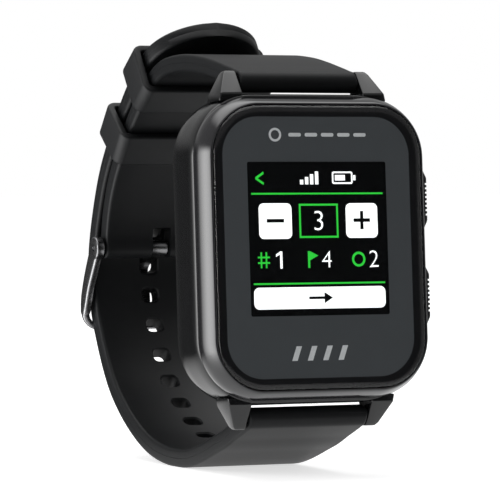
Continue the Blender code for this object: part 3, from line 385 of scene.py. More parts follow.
PIN_STEEL = textured("pin_steel", (0.42, 0.42, 0.43), (0.58, 0.58, 0.59), (0.20, 0.35), 8.0, 1.0)
CLEAR_GLASS = clear_glass_material()
PRINT_GREY = textured("glass_print", (0.043, 0.047, 0.051), (0.047, 0.051, 0.055), (0.35, 0.45), 2.0,
                      depth=0.001, strength=0.05, specular=0.2)
# Near-black band under the curved glass edge: painted reflection of the dark studio in the curved edge, not
# print
PAINTED_EDGE_REFLECTION = textured("glass_edge_painted_reflection", (0.004, 0.004, 0.005), (0.006, 0.006, 0.007), (0.25, 0.35), 2.0,
                       depth=0.001, strength=0.05, specular=0.2)
PRINT_SILVER = textured("print_silver", (0.50, 0.51, 0.52), (0.66, 0.67, 0.68), (0.35, 0.5), 14.0,
                        0.3, depth=0.002)
SCREEN_BLACK = textured("screen_black", (0.0015, 0.0016, 0.002), (0.002, 0.0024, 0.0028), (0.6, 0.7), 4.0,
                        depth=0.001, strength=0.05, specular=0.05)
SCREEN_WHITE = screen_material("screen_white", (0.92, 0.92, 0.92), 0.8)
SCREEN_GREEN = screen_material("screen_green", (0.03, 0.62, 0.05), 0.35)
SEAL = textured("seal_rubber", (0.008, 0.008, 0.008), (0.014, 0.014, 0.014), (0.7, 0.85), 6.0)
BOARD = textured("board_green", (0.006, 0.07, 0.022), (0.012, 0.12, 0.04), (0.35, 0.55), 3.0)
CERAMIC = textured("ceramic", (0.52, 0.47, 0.38), (0.62, 0.57, 0.47), (0.45, 0.6), 5.0)
PLASTIC = textured("inner_plastic", (0.03, 0.03, 0.03), (0.06, 0.06, 0.06), (0.5, 0.65), 5.0)
FOAM = textured("foam", (0.06, 0.06, 0.065), (0.11, 0.11, 0.12), (0.85, 0.95), 4.0, depth=0.05)
CELL = textured("battery_pouch", (0.42, 0.42, 0.44), (0.55, 0.55, 0.57), (0.3, 0.5), 2.5, 0.6, depth=0.03)
GOLD = textured("gold", (0.78, 0.55, 0.20), (0.92, 0.68, 0.28), (0.16, 0.28), 8.0, 1.0)


# ---------------------------------------------------------------- mesh helpers

def settle(item, body, node=None):
    """Put a finished piece on its body, in place of a CAD node if one is given."""
    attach(item, body)
    if node:
        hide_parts(node)


def add_object(name, mesh, material, sharp=35):
    """Put a mesh in the scene as a smooth-shaded object."""
    item = bpy.data.objects.new(name, mesh)
    bpy.context.scene.collection.objects.link(item)
    if material is not None:
        mesh.materials.append(material)
    mesh.shade_smooth()
    mesh.set_sharp_from_angle(angle=math.radians(sharp))
    return item


def object_from_bmesh(name, shape, material, sharp=35):
    """Finish a bmesh as an object whose faces point outwards."""
    bmesh.ops.recalc_face_normals(shape, faces=shape.faces)
    mesh = bpy.data.meshes.new(name)
    shape.to_mesh(mesh)
    shape.free()
    return add_object(name, mesh, material, sharp)


def bake_modifiers(item, sharp=35):
    """Replace an object's mesh by its evaluated mesh."""
    depsgraph = bpy.context.evaluated_depsgraph_get()
    mesh = bpy.data.meshes.new_from_object(item.evaluated_get(depsgraph), depsgraph=depsgraph)
    item.modifiers.clear()
    item.data = mesh
    mesh.shade_smooth()
    mesh.set_sharp_from_angle(angle=math.radians(sharp))
    return item


def boolean(target, tool, operation="DIFFERENCE"):
    """Boolean target with tool, then delete the tool."""
    modifier = target.modifiers.new("boolean", "BOOLEAN")
    modifier.operation = operation
    modifier.solver = "EXACT"
    modifier.object = tool
    bake_modifiers(target)
    bpy.data.objects.remove(tool, do_unlink=True)


def soften(item, width, segments=3, angle=40):
    """Round the sharp edges of an object."""
    modifier = item.modifiers.new("bevel", "BEVEL")
    modifier.width = width
    modifier.segments = segments
    modifier.limit_method = "ANGLE"
    modifier.angle_limit = math.radians(angle)
    modifier.harden_normals = False
    return bake_modifiers(item)


def in_mm(*points):
    """Points given in millimetres, as metres."""
    return [tuple(value * MM for value in point) for point in points]


def rounded_rectangle(half_w, half_h, radius, steps=CORNER_STEPS, centre=(0.0, 0.0)):
    """Corner arcs of a rounded rectangle, anticlockwise from +X."""
    points = []
    for quarter, (side_x, side_y) in enumerate(((1, 1), (-1, 1), (-1, -1), (1, -1))):
        for step in range(steps + 1):
            angle = math.pi / 2 * (quarter + step / steps)
            points.append((
                centre[0] + side_x * (half_w - radius) + radius * math.cos(angle),
                centre[1] + side_y * (half_h - radius) + radius * math.sin(angle),
            ))
    return points


def mesh_from_curve(curve):
    """The filled and extruded mesh of a curve; the curve's own object goes again."""
    item = bpy.data.objects.new(curve.name, curve)
    bpy.context.scene.collection.objects.link(item)
    depsgraph = bpy.context.evaluated_depsgraph_get()
    mesh = bpy.data.meshes.new_from_object(item.evaluated_get(depsgraph))
    bpy.data.objects.remove(item, do_unlink=True)
    return mesh


def inset_sections(half_w, half_h, radius, profile):
    """Sections of a rounded rectangle, one for each (inset, y) point of a profile."""
    sections = []
    for inset, depth in profile:
        outline = rounded_rectangle(half_w - inset, half_h - inset, radius - inset)
        sections.append([(x, depth, z) for x, z in outline])
    return sections


def plate(name, outlines, front, rear, material, edge=0.0):
    """A plate in the XZ plane from y = front to y = rear; outlines after the first are holes."""
    curve = bpy.data.curves.new(name, "CURVE")
    curve.dimensions = "2D"
    curve.fill_mode = "BOTH"
    curve.extrude = (rear - front) / 2
    for outline in outlines:
        spline = curve.splines.new("POLY")
        spline.points.add(len(outline) - 1)
        for point, (across, up) in zip(spline.points, outline):
            point.co = (across, up, 0.0, 1.0)
        spline.use_cyclic_u = True
    shape = bmesh.new()
    shape.from_mesh(mesh_from_curve(curve))
    bmesh.ops.remove_doubles(shape, verts=shape.verts, dist=WELD)
    bmesh.ops.dissolve_limit(
        shape, angle_limit=math.radians(0.3), verts=shape.verts, edges=shape.edges
    )
    bmesh.ops.transform(
        shape, matrix=Matrix.Translation((0, (front + rear) / 2, 0)) @ DEPTH_AXIS, verts=shape.verts
    )
    item = object_from_bmesh(name, shape, material)
    if edge:
        soften(item, edge)
    return item


def rod(name, centre, radius, length, turn, material=None, segments=48):
    """A cylinder along the turned local Z axis."""
    shape = bmesh.new()
    bmesh.ops.create_cone(
        shape, cap_ends=True, segments=segments, radius1=radius, radius2=radius, depth=length
    )
    bmesh.ops.transform(shape, matrix=Matrix.Translation(centre) @ turn, verts=shape.verts)
    return object_from_bmesh(name, shape, material)


def block(name, low, high, material=None, edge=0.0):
    """A box between two corners."""
    low = Vector(low)
    high = Vector(high)
    shape = bmesh.new()
    bmesh.ops.create_cube(shape, size=1.0)
    bmesh.ops.scale(shape, vec=high - low, verts=shape.verts)
    bmesh.ops.translate(shape, vec=(low + high) / 2, verts=shape.verts)
    item = object_from_bmesh(name, shape, material)
    if edge:
        soften(item, edge, 2)
    return item


def turned(name, profile, centre, turn, material, steps=40):
    """A lathe shape: (radius, height) points, closed on the axis, spun about local Z."""
    shape = bmesh.new()
    verts = [shape.verts.new((radius, 0.0, height)) for radius, height in profile]
    edges = [shape.edges.new(pair) for pair in zip(verts, verts[1:])]
    bmesh.ops.spin(
        shape, geom=verts + edges, axis=(0, 0, 1), cent=(0, 0, 0), angle=2 * math.pi, steps=steps
    )
    bmesh.ops.remove_doubles(shape, verts=shape.verts, dist=WELD)
    bmesh.ops.transform(shape, matrix=Matrix.Translation(centre) @ turn, verts=shape.verts)
    return object_from_bmesh(name, shape, material)


def bridge_rings(shape, rings, closed):
    """Quads between neighbouring rings of equal length, the last joined to the first if closed."""
    count = len(rings[0])
    pairs = list(zip(rings, rings[1:]))
    if closed:
        pairs.append((rings[-1], rings[0]))
    for ring, following in pairs:
        for index in range(count):
            after = (index + 1) % count
            shape.faces.new((ring[index], ring[after], following[after], following[index]))


def ring_loft(name, half_w, half_h, radius, profile, material):
    """A closed ring: profile points (inset, y) swept round a rounded rectangle."""
    shape = bmesh.new()
    sections = inset_sections(half_w, half_h, radius, profile)
    rings = [[shape.verts.new(point) for point in section] for section in sections]
    bridge_rings(shape, rings, closed=True)
    return object_from_bmesh(name, shape, material)


def loft(name, sections, material):
    """A solid through closed sections of equal point count, capped at both ends."""
    shape = bmesh.new()
    rings = [[shape.verts.new(point) for point in section] for section in sections]
    bridge_rings(shape, rings, closed=False)
    shape.faces.new(rings[0])
    shape.faces.new(rings[-1])
    return object_from_bmesh(name, shape, material)


def arc(centre, radius, start, end, steps):
    """Points on an arc in two dimensions, angles in degrees."""
    points = []
    for step in range(steps + 1):
        angle = math.radians(start + (end - start) * step / steps)
        points.append((centre[0] + radius * math.cos(angle), centre[1] + radius * math.sin(angle)))
    return points


# ---------------------------------------------------------------- paths in the plane x = 0

def smooth_path(points, steps=40):
    """A smooth curve through (y, z) points given in millimetres, as points in metres."""
    knots = [Vector((0.0, y, z)) * MM for y, z in points]
    knots.insert(0, 2 * knots[0] - knots[1])
    knots.append(2 * knots[-1] - knots[-2])
    path = []
    for before, start, end, after in zip(knots, knots[1:], knots[2:], knots[3:]):
        handle_out = start + (end - before) / 6
        handle_in = end - (after - start) / 6
        path.extend(interpolate_bezier(start, handle_out, handle_in, end, steps)[:-1])
    path.append(knots[-2])
    return path


def path_length(path):
    """Total length of a path."""
    return sum((b - a).length for a, b in zip(path, path[1:]))


def path_frame(path, distance):
    """Point, tangent and right-hand normal at a distance; runs straight on past either end."""
    travelled = 0.0
    for a, b in zip(path, path[1:]):
        step = (b - a).length
        if travelled + step >= distance or b is path[-1]:
            tangent = (b - a).normalized()
            point = a + tangent * (distance - travelled)
            return point, tangent, Vector((0.0, tangent.z, -tangent.y))
        travelled += step


def distance_at_height(path, height, beyond_y):
    """Distance along a path where it crosses z = height going up, beyond y = beyond_y."""
    travelled = 0.0
    for a, b in zip(path, path[1:]):
        step = (b - a).length
        if a.y > beyond_y and a.z <= height < b.z:
            return travelled + step * (height - a.z) / (b.z - a.z)
        travelled += step


def eased(value):
    """Smooth step from 0 to 1."""
    value = min(max(value, 0.0), 1.0)
    return value * value * (3 - 2 * value)


# ---------------------------------------------------------------- case

def build_case():
    """Mid case with lugs, pockets and bores."""
    rear_edge = CASE_REAR - REAR_CHAMFER
    seat = COVER_INSET - COVER_LAP
    profile = []
    for step in range(11):
        angle = math.pi / 2 * step / 10
        depth = CASE_FRONT + RIM_DEPTH * (1 - math.cos(angle))
        profile.append((RIM_INSET * (1 - math.sin(angle)), depth))
    for step in range(9):
        part = step / 8
        profile.append((REAR_INSET * part ** 2, rear_edge - REAR_CURVE * (1 - part)))
    profile += [(REAR_INSET + 0.03 * MM, rear_edge + 0.02 * MM)]
    profile += [(REAR_INSET + REAR_CHAMFER - 0.03 * MM, CASE_REAR - 0.03 * MM)]
    profile += [(REAR_INSET + REAR_CHAMFER + 0.05 * MM, CASE_REAR)]
    profile += [(seat, CASE_REAR), (seat, COVER_SEAT_Y), (CASE_WALL, COVER_SEAT_Y)]
    profile += [(CASE_WALL, CASE_FRONT)]
    case = ring_loft("case_shell", CASE_HALF_W, CASE_HALF_H, CASE_CORNER, profile, CASE_BLACK)
    for side in (1, -1):
        for end in (1, -1):
            boolean(case, lug(side, end), "UNION")
    for end in (1, -1):
        boolean(case, rod("bore", (0, BAR_Y, end * BAR_Z), BAR_HOLE_RADIUS, 23 * MM, ACROSS_AXIS))
        boolean(case, button_pocket(end))
        stem = (POCKET_FLOOR - MM, BUTTON_Y, end * BUTTON_Z)
        boolean(case, rod("stem_bore", stem, STEM_BORE_RADIUS, 4 * MM, ACROSS_AXIS))
    settle(case, "case", "mid_case")


def lug(side, end):
    """One lug, tapering from the case wall to its tip."""
    inner = STRAP_GAP / 2
    root_z = CASE_HALF_H - 1.2 * MM
    front = CASE_FRONT + 0.05 * MM
    tip = LUG_TIP_Z
    stations = (
        (root_z, 14.15, front, -3.4), (CASE_HALF_H, 13.9, front, -3.4),
        (tip - 0.5 * MM, 12.35, -5.95 * MM, -4.0), (tip, 11.9, -5.45 * MM, -4.3),
    )
    sections = []
    for z, outer, front_y, rear in stations:
        outer_x = side * outer * MM
        sections.append([
            (side * inner, front_y, end * z), (outer_x, front_y, end * z),
            (outer_x, rear * MM, end * z), (side * inner, rear * MM, end * z),
        ])
    return soften(loft("lug", sections, CASE_BLACK), LUG_EDGE, 4, 20)


def button_pocket(end):
    """The recess in the case wall behind a button."""
    z = end * BUTTON_Z
    half_d = BUTTON_HALF_D + POCKET_MARGIN
    half_l = BUTTON_HALF_L + POCKET_MARGIN
    low = (POCKET_FLOOR, BUTTON_Y - half_d, z - half_l)
    high = (CASE_HALF_W + MM, BUTTON_Y + half_d, z + half_l)
    return block("pocket", low, high, CASE_BLACK)


def build_bezel():
    """Glossy front ring with a rounded chamfer between side and glass."""
    rear = BEZEL_HIGH.y
    glass_edge = GLASS_LOW.y + GLASS_EDGE_DROP
    ledge = BEZEL_LIP + 1.9 * MM
    ledge_y = GLASS_LOW.y + 1.55 * MM
    shoulder = [Vector((x, y, 0)) * MM for x, y in ((0, -9.2), (0, -10.0), (0.3, -10.8), (0.75, -11.8))]
    crest = [Vector((x, y, 0)) * MM for x, y in ((0.75, -11.8), (0.92, -12.15), (1.1, -12.55), (1.3, -12.5))]
    curve = interpolate_bezier(*shoulder, 9) + interpolate_bezier(*crest, 9)[1:]
    profile = [(0.12 * MM, rear), (0.03 * MM, rear - 0.03 * MM), (0.0, rear - 0.12 * MM)]
    profile += [(point.x, point.y) for point in curve]
    profile += [(BEZEL_LIP, glass_edge - 0.05 * MM), (BEZEL_LIP, ledge_y), (ledge, ledge_y), (ledge, rear)]
    ring = ring_loft("bezel_ring", BEZEL_HIGH.x, BEZEL_HIGH.z, BEZEL_CORNER, profile, GLOSS_BLACK)
    settle(ring, "case", "front_bezel")


def build_glass():
    """Clear cover glass with a curved edge, the print on its rear face, and a near-black band under the edge
    that is painted dark reflection.
    """
    rear = GLASS_LOW.y + GLASS_THICKNESS
    half_w = GLASS_HIGH.x
    half_h = GLASS_HIGH.z
    insets = [(0.12 * MM, rear), (0.0, rear - 0.12 * MM)]
    for step in range(15):
        angle = math.pi / 2 * step / 14
        insets.append((
            GLASS_EDGE_WIDTH * (1 - math.sin(angle)),
            GLASS_LOW.y + GLASS_EDGE_DROP * (1 - math.cos(angle)),
        ))
    insets[2:] = insets[:1:-1]
    sections = inset_sections(half_w, half_h, GLASS_CORNER, insets)
    glass = loft("glass_lens", sections, CLEAR_GLASS)
    settle(glass, "case", "cover_glass")
    build_print(rear, half_w, half_h)


def build_print(rear, half_w, half_h):
    """Grey print with a square window, and a near-black band under the curved edge that is painted dark
    reflection, not print.
    """
    front = rear - PRINT_DEPTH
    half = DISPLAY_SIDE / 2
    window = rounded_rectangle(half, half, 0.3 * MM, 4, (0.0, DISPLAY_Z))
    flat = rounded_rectangle(half_w - REFLECTION_BAND_WIDTH, half_h - REFLECTION_BAND_WIDTH, GLASS_CORNER - REFLECTION_BAND_WIDTH)
    inset = 0.1 * MM
    outer = rounded_rectangle(half_w - inset, half_h - inset, GLASS_CORNER - inset)
    grey = plate("glass_print", [flat, window], front, rear - PRINT_LAYER, PRINT_GREY)
    # Painted reflection: a near-black sheet all round under the curved edge, standing in for the dark studio
    # that the edge mirrors
    black = plate("glass_edge_painted_reflection", [outer, flat], front, rear - PRINT_LAYER, PAINTED_EDGE_REFLECTION)
    for piece in (grey, black):
        settle(piece, "case")


def build_back():
    """Back cover with a shallow raised field, screws and contacts."""
    radius = CASE_CORNER - COVER_INSET
    half_w = COVER_HIGH.x
    half_h = COVER_HIGH.z
    profile = [(0.0, COVER_LOW.y), *in_mm((0.0, -0.25), (0.07, -0.08), (0.25, 0.0))]
    cover = loft("back_plate", inset_sections(half_w, half_h, radius, profile), CASE_BLACK)
    groove = ring_loft(
        "groove", half_w - GROOVE_INSET, half_h - GROOVE_INSET, radius - GROOVE_INSET,
        in_mm((0.0, 0.1), (0.0, -0.12), (0.3, -0.12), (0.3, 0.1)), CASE_BLACK,
    )
    boolean(cover, groove)
    for number in range(1, 5):
        low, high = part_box(f"back_screw_{number}")
        centre = ((low.x + high.x) / 2, 0.0, (low.z + high.z) / 2)
        hole = in_mm((0, 1), (1.65, 1), (1.65, -0.35), (1.0, -0.9), (1.0, -2.5), (0, -2.5))
        boolean(cover, turned("hole", hole, centre, OUT_OF_BACK, CASE_BLACK))
        build_screw(number, centre)
        contact_low, contact_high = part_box(f"charge_contact_{number}")
        x = (contact_low.x + contact_high.x) / 2
        z = (contact_low.z + contact_high.z) / 2
        boolean(cover, rod("contact_hole", (x, -0.7 * MM, z), 1.0 * MM, 4 * MM, OUT_OF_BACK))
        build_contact(number, (x, 0.0, z))
    settle(cover, "case", "back_cover")


def build_screw(number, centre):
    """Countersunk screw with a cross recess."""
    profile = in_mm((0.0, -0.12), (1.05, -0.12), (1.2, -0.17), (1.25, -0.25), (0.65, -0.85), (0.6, -4.2),
                    (0.0, -4.6))
    screw = turned(f"cover_screw_{number}", profile, centre, OUT_OF_BACK, PIN_STEEL)
    for half_x, half_z in ((0.62, 0.13), (0.13, 0.62)):
        low = (centre[0] - half_x * MM, -0.6 * MM, centre[2] - half_z * MM)
        high = (centre[0] + half_x * MM, 0.3 * MM, centre[2] + half_z * MM)
        boolean(screw, block("recess", low, high))
    settle(screw, "case", f"back_screw_{number}")


def build_contact(number, centre):
    """Gold charging contact with a domed face."""
    profile = in_mm((0.0, -0.04), (0.4, -0.055), (0.68, -0.1), (0.8, -0.2), (0.8, -1.7), (0.45, -1.7),
                    (0.45, -2.4), (0.0, -2.4))
    contact = turned(f"contact_pad_{number}", profile, centre, OUT_OF_BACK, GOLD)
    settle(contact, "case", f"charge_contact_{number}")


# ---------------------------------------------------------------- display

def display_plate(name, outlines, material, layer=1):
    """A thin lit shape on the display; outlines are about the display's centre."""
    moved = [[(x, z + DISPLAY_Z) for x, z in outline] for outline in outlines]
    front = DISPLAY_Y - DISPLAY_LAYER * layer
    item = plate(name, moved, front, front + 0.8 * DISPLAY_LAYER, material)
    settle(item, "case")
    return item


def bar(x, z, half_w, half_h, radius=0.0):
    """Outline of a rectangle, rounded if a radius is given; all in millimetres."""
    if radius:
        return rounded_rectangle(half_w * MM, half_h * MM, radius * MM, 6, (x * MM, z * MM))
    corners = ((half_w, half_h), (-half_w, half_h), (-half_w, -half_h), (half_w, -half_h))
    return [((x + across) * MM, (z + up) * MM) for across, up in corners]


def polygon(points, x=0.0, z=0.0):
    """Outline from points in millimetres."""
    return [((x + across) * MM, (z + up) * MM) for across, up in points]


def circle(x, z, radius, steps=24):
    """Outline of a circle in millimetres."""
    return [(across * MM, up * MM) for across, up in arc((x, z), radius, 0, 360, steps)[:-1]]


def numeral(name, text, x, z, height, material):
    """A digit on the display, from Blender's own font."""
    curve = bpy.data.curves.new(name, "FONT")
    curve.body = text
    curve.align_x = "CENTER"
    curve.size = height * MM * 1.5
    curve.offset = DIGIT_THINNING
    curve.extrude = DIGIT_DEPTH
    mesh = mesh_from_curve(curve)
    place = Vector((x * MM, DISPLAY_Y - 2 * DISPLAY_LAYER, DISPLAY_Z + (z - height / 2) * MM))
    mesh.transform(Matrix.Translation(place) @ DEPTH_AXIS)
    piece = add_object(name, mesh, material)
    settle(piece, "case")


def build_display():
    """Score screen: back arrow, counter with minus and plus, three read-outs and a next button."""
    side = DISPLAY_SIDE / MM / 2 + 0.3
    display_plate("screen_face", [bar(0, 0, side, side)], SCREEN_BLACK, 0)
    chevron = ((-8.95, 10.1), (-9.05, 10.2), (-10.35, 9.35), (-10.35, 9.05), (-9.05, 8.2), (-8.95, 8.3),
               (-8.95, 8.55), (-9.95, 9.2), (-8.95, 9.85))
    display_plate("back_arrow", [polygon(chevron)], SCREEN_GREEN)
    for index in range(4):
        height = 0.35 + 0.21 * index
        outline = bar(-2.6 + index * 0.85, 8.25 + height, 0.28, height)
        display_plate(f"signal_bar_{index + 1}", [outline], SCREEN_WHITE)
    outline = [bar(4.3, 9.25, 1.75, 0.95, 0.3), bar(4.3, 9.25, 1.5, 0.7, 0.15)]
    display_plate("power_case", outline, SCREEN_WHITE)
    display_plate("power_level", [bar(3.9, 9.25, 0.85, 0.42)], SCREEN_WHITE)
    display_plate("power_end", [bar(6.35, 9.25, 0.2, 0.4)], SCREEN_WHITE)
    for name, outlines, material, layer in (
        ("rule_upper", [bar(0, 6.85, 11.1, 0.13)], SCREEN_GREEN, 1),
        ("rule_lower", [bar(0, -6.8, 11.1, 0.13)], SCREEN_GREEN, 1),
        ("minus_key", [bar(-7.2, 2.7, 2.75, 2.7, 0.8)], SCREEN_WHITE, 1),
        ("plus_key", [bar(7.4, 2.7, 2.7, 2.65, 0.8)], SCREEN_WHITE, 1),
        ("minus_sign", [bar(-7.2, 2.75, 1.45, 0.27)], SCREEN_BLACK, 3),
        ("plus_sign", [plus_outline(7.4, 2.75, 1.4, 0.27)], SCREEN_BLACK, 3),
        ("count_frame", [bar(0.1, 2.7, 3.3, 2.6), bar(0.1, 2.7, 3.0, 2.3)], SCREEN_GREEN, 1),
    ):
        display_plate(name, outlines, material, layer)
    numeral("count_digit", "3", 0.1, 2.7, 2.9, SCREEN_WHITE)
    row = -3.2
    for index, shift in enumerate((-0.42, 0.42)):
        display_plate(f"grid_up_{index + 1}", [bar(-9.3 + shift, row, 0.13, 1.2)], SCREEN_GREEN)
        display_plate(f"grid_across_{index + 1}", [bar(-9.3, row + shift, 1.0, 0.13)], SCREEN_GREEN, 2)
    one = ((0.4, -1.3), (0.4, 1.3), (0.05, 1.3), (-0.65, 0.85), (-0.65, 0.47), (0.02, 0.85), (0.02, -1.3))
    display_plate("stroke_digit", [polygon(one, -6.6, row)], SCREEN_WHITE)
    flag = ((-1.9, -1.25), (-1.55, -1.25), (-1.55, -0.1), (-0.15, 0.62), (-1.55, 1.3), (-1.9, 1.3))
    display_plate("par_flag", [polygon(flag, 0, row)], SCREEN_GREEN)
    numeral("par_digit", "4", 1.3, row, 2.5, SCREEN_WHITE)
    display_plate("hole_ring", [circle(6.7, row, 1.15), circle(6.7, row, 0.78)], SCREEN_GREEN)
    numeral("hole_digit", "2", 9.3, row, 2.5, SCREEN_WHITE)
    display_plate("next_key", [bar(0, -9.0, 11.1, 1.65, 0.85)], SCREEN_WHITE)
    arrow = ((-1.9, 0.2), (0.7, 0.2), (0.7, 0.85), (2.1, 0.0), (0.7, -0.85), (0.7, -0.2), (-1.9, -0.2))
    display_plate("next_arrow", [polygon(arrow, 0, -9.0)], SCREEN_BLACK, 3)


def plus_outline(x, z, reach, half):
    """Outline of a plus sign."""
    quarter = ((reach, half), (half, half), (half, reach))
    points = []
    for turn in range(4):
        angle = math.pi / 2 * turn
        for across, up in quarter:
            points.append((
                across * math.cos(angle) - up * math.sin(angle),
                across * math.sin(angle) + up * math.cos(angle),
            ))
    return polygon(points, x, z)


def build_marks():
    """Generic silver marks on the glass above and below the display."""
    front = GLASS_LOW.y + GLASS_THICKNESS - 0.05 * MM
    shapes = [[circle(-6.9, 17.1, 1.05), circle(-6.9, 17.1, 0.7)]]
    for index in range(5):
        shapes.append([bar(-3.6 + index * 2.75, 17.1, 1.05, 0.28, 0.25)])
    for index in range(4):
        x = -3.9 + index * 2.6
        slanted = ((0.5, 1.1), (-0.4, 1.1), (-1.2, -1.1), (-0.3, -1.1))
        shapes.append([polygon(slanted, x, -16.1)])
    for index, outlines in enumerate(shapes):
        piece = plate(f"glass_mark_{index + 1}", outlines, front, front + PRINT_LAYER, PRINT_SILVER)
        settle(piece, "case")


# ---------------------------------------------------------------- buttons

def build_button(name, end):
    """Button head with ribs, and its stem."""
    flat = BUTTON_HALF_L - BUTTON_END_SLOPE
    z = end * BUTTON_Z
    shoulder = BUTTON_OUT - BUTTON_SHOULDER
    outline = [(BUTTON_IN, -BUTTON_HALF_L), (shoulder, -BUTTON_HALF_L), (BUTTON_OUT, -flat)]
    outline += [(BUTTON_OUT, flat), (shoulder, BUTTON_HALF_L), (BUTTON_IN, BUTTON_HALF_L)]
    outline = [(x, height + z) for x, height in outline]
    head = plate(f"{name}_head", [outline], BUTTON_Y - BUTTON_HALF_D, BUTTON_Y + BUTTON_HALF_D, GLOSS_BLACK)
    soften(head, BUTTON_EDGE, 4, 15)
    for index in range(RIB_COUNT):
        rib_z = z + (index - (RIB_COUNT - 1) / 2) * RIB_PITCH
        low = (BUTTON_OUT - RIB_DEPTH, BUTTON_Y - 3 * MM, rib_z - RIB_GROOVE_HALF)
        high = (BUTTON_OUT + MM, BUTTON_Y + 3 * MM, rib_z + RIB_GROOVE_HALF)
        boolean(head, block("rib", low, high, GLOSS_BLACK))
    stem = rod("stem", (BUTTON_IN - 1.3 * MM, BUTTON_Y, z), STEM_RADIUS, 3.5 * MM, ACROSS_AXIS, GLOSS_BLACK)
    boolean(head, stem, "UNION")
    settle(head, name, name)


# ---------------------------------------------------------------- strap

def strap_section(point, normal, half_w, thickness):
    """Section of the strap: outer edges well rounded, inner edges less, a fine parting line between."""
    half_t = thickness / 2
    outer = min(0.5 * MM, half_t * 0.62, half_w * 0.4)
    inner = min(0.6 * MM, half_t * 0.42, half_w * 0.3)
    line = 0.04 * MM * min(1.0, half_w / (5 * MM))
    seam = -half_t + inner + (thickness - outer - inner) * 0.5
    right = arc((half_w - inner, -half_t + inner), inner, -90, 0, 5)
    right += [(half_w, seam - line), (half_w - line, seam), (half_w, seam + line)]
    right += arc((half_w - outer, half_t - outer), outer, 0, 90, 7)
    left = [(-x, up) for x, up in reversed(right)]
    inner_face = [(half_w * part, -half_t) for part in (-0.6, -0.2, 0.2, 0.6)]
    outer_face = [(half_w * part, half_t) for part in (0.6, 0.2, -0.2, -0.6)]
    return [point + Vector((x, 0.0, 0.0)) + normal * up for x, up in right + outer_face + left + inner_face]


def round_nose(path, radius, half_w, outward):
    """Sections of the round end before a strap's first point, along with their distance."""
    sections = []
    for step in range(1, 13):
        angle = math.pi / 2 * step / 12
        distance = -radius * math.cos(angle)
        point, tangent, normal = path_frame(path, distance)
        thickness = max(2 * radius * math.sin(angle), 0.2 * MM)
        sections.append(strap_section(point, normal * outward, half_w, thickness))
    return sections


def build_tail():
    """Strap half with the holes."""
    path = smooth_path(TAIL_PATH)
    length = path_length(path)
    sections = round_nose(path, END_RADIUS, STRAP_HALF_W, 1)
    distances = [length * step / 150 for step in range(1, 150)]
    distances = [value for value in distances if value < length - TIP_LENGTH]
    distances += [length - TIP_LENGTH * math.cos(math.pi / 2 * step / 44) for step in range(44)]
    distances.append(length - 0.0003 * TIP_LENGTH)
    for distance in distances:
        point, tangent, normal = path_frame(path, distance)
        along = distance / length
        half_w = STRAP_HALF_W + (STRAP_HALF_W_BUCKLE - STRAP_HALF_W) * eased(along * 2)
        thickness = TAIL_THICKNESS + TAIL_SWELL * (1 - eased(distance / SWELL_LENGTH))
        left = length - distance
        if left < TIP_LENGTH:
            rounding = 1 - left / TIP_LENGTH
            half_w *= max(math.sqrt(1 - rounding ** 2), 0.02)
            thickness *= 1 - 0.12 * rounding
        sections.append(strap_section(point, normal, half_w, thickness))
    strap = loft("tail_band", sections, RUBBER)
    boolean(strap, rod("bore", path[0], EYELET_BORE, BORE_LENGTH, ACROSS_AXIS, RUBBER))
    for hole in strap_holes(path):
        boolean(strap, hole)
    settle(strap, "case", "tail_strap")


def strap_holes(path):
    """Rounded rectangular holes with a flared rim on both faces."""
    tongue_distance = distance_at_height(path, TONGUE_HOLE_Z, BUCKLE_BAR[0])
    half_t = TAIL_THICKNESS / 2
    flare = 2 * HOLE_RIM
    for index in range(-HOLES_BEFORE, HOLES_AFTER + 1):
        across, along = (HOLE_ACROSS, HOLE_ALONG) if index else (TONGUE_HOLE_ACROSS, TONGUE_HOLE_ALONG)
        point, tangent, normal = path_frame(path, tongue_distance + index * HOLE_PITCH)
        frame_matrix = Matrix((Vector((1, 0, 0)), tangent, normal)).transposed()
        levels = (
            (-half_t - HOLE_RIM, flare), (-half_t + HOLE_RIM, 0.0),
            (half_t - HOLE_RIM, 0.0), (half_t + HOLE_RIM, flare),
        )
        sections = []
        for height, grow in levels:
            outline = rounded_rectangle(across / 2 + grow, along / 2 + grow, HOLE_CORNER + grow, 6)
            sections.append([point + frame_matrix @ Vector((x, y, height)) for x, y in outline])
        yield loft("hole", sections, RUBBER)


def build_buckle_strap():
    """Strap half that carries the buckle."""
    path = smooth_path(BUCKLE_STRAP_PATH)
    length = path_length(path)
    sections = round_nose(path, END_RADIUS, STRAP_HALF_W, -1)
    for step in range(1, 100):
        distance = length * step / 100
        point, tangent, normal = path_frame(path, distance)
        half_w = STRAP_HALF_W + (STRAP_HALF_W_BUCKLE - STRAP_HALF_W) * step / 100
        thickness = STRAP_THICKNESS + STRAP_SWELL * (1 - eased(distance / SWELL_LENGTH))
        swell = 2 * BUCKLE_END_RADIUS - STRAP_THICKNESS
        thickness += swell * eased(1 - (length - distance) / BUCKLE_SWELL_LENGTH)
        sections.append(strap_section(point, -normal, half_w, thickness))
    backwards = list(reversed(path))
    sections += reversed(round_nose(backwards, BUCKLE_END_RADIUS, STRAP_HALF_W_BUCKLE, 1))
    strap = loft("buckle_band", sections, RUBBER)
    boolean(strap, rod("bore", path[0], EYELET_BORE, BORE_LENGTH, ACROSS_AXIS, RUBBER))
    boolean(strap, rod("bore", path[-1], EYELET_BORE, BORE_LENGTH, ACROSS_AXIS, RUBBER))
    low = (-TONGUE_SLOT_HALF, BUCKLE_BAR[0] - 8 * MM, BUCKLE_BAR[1] - 5 * MM)
    high = (TONGUE_SLOT_HALF, BUCKLE_BAR[0] + 5 * MM, BUCKLE_BAR[1] + TONGUE_SLOT_LENGTH)
    boolean(strap, block("slot", low, high, RUBBER, 0.4 * MM))
    settle(strap, "case", "buckle_strap")


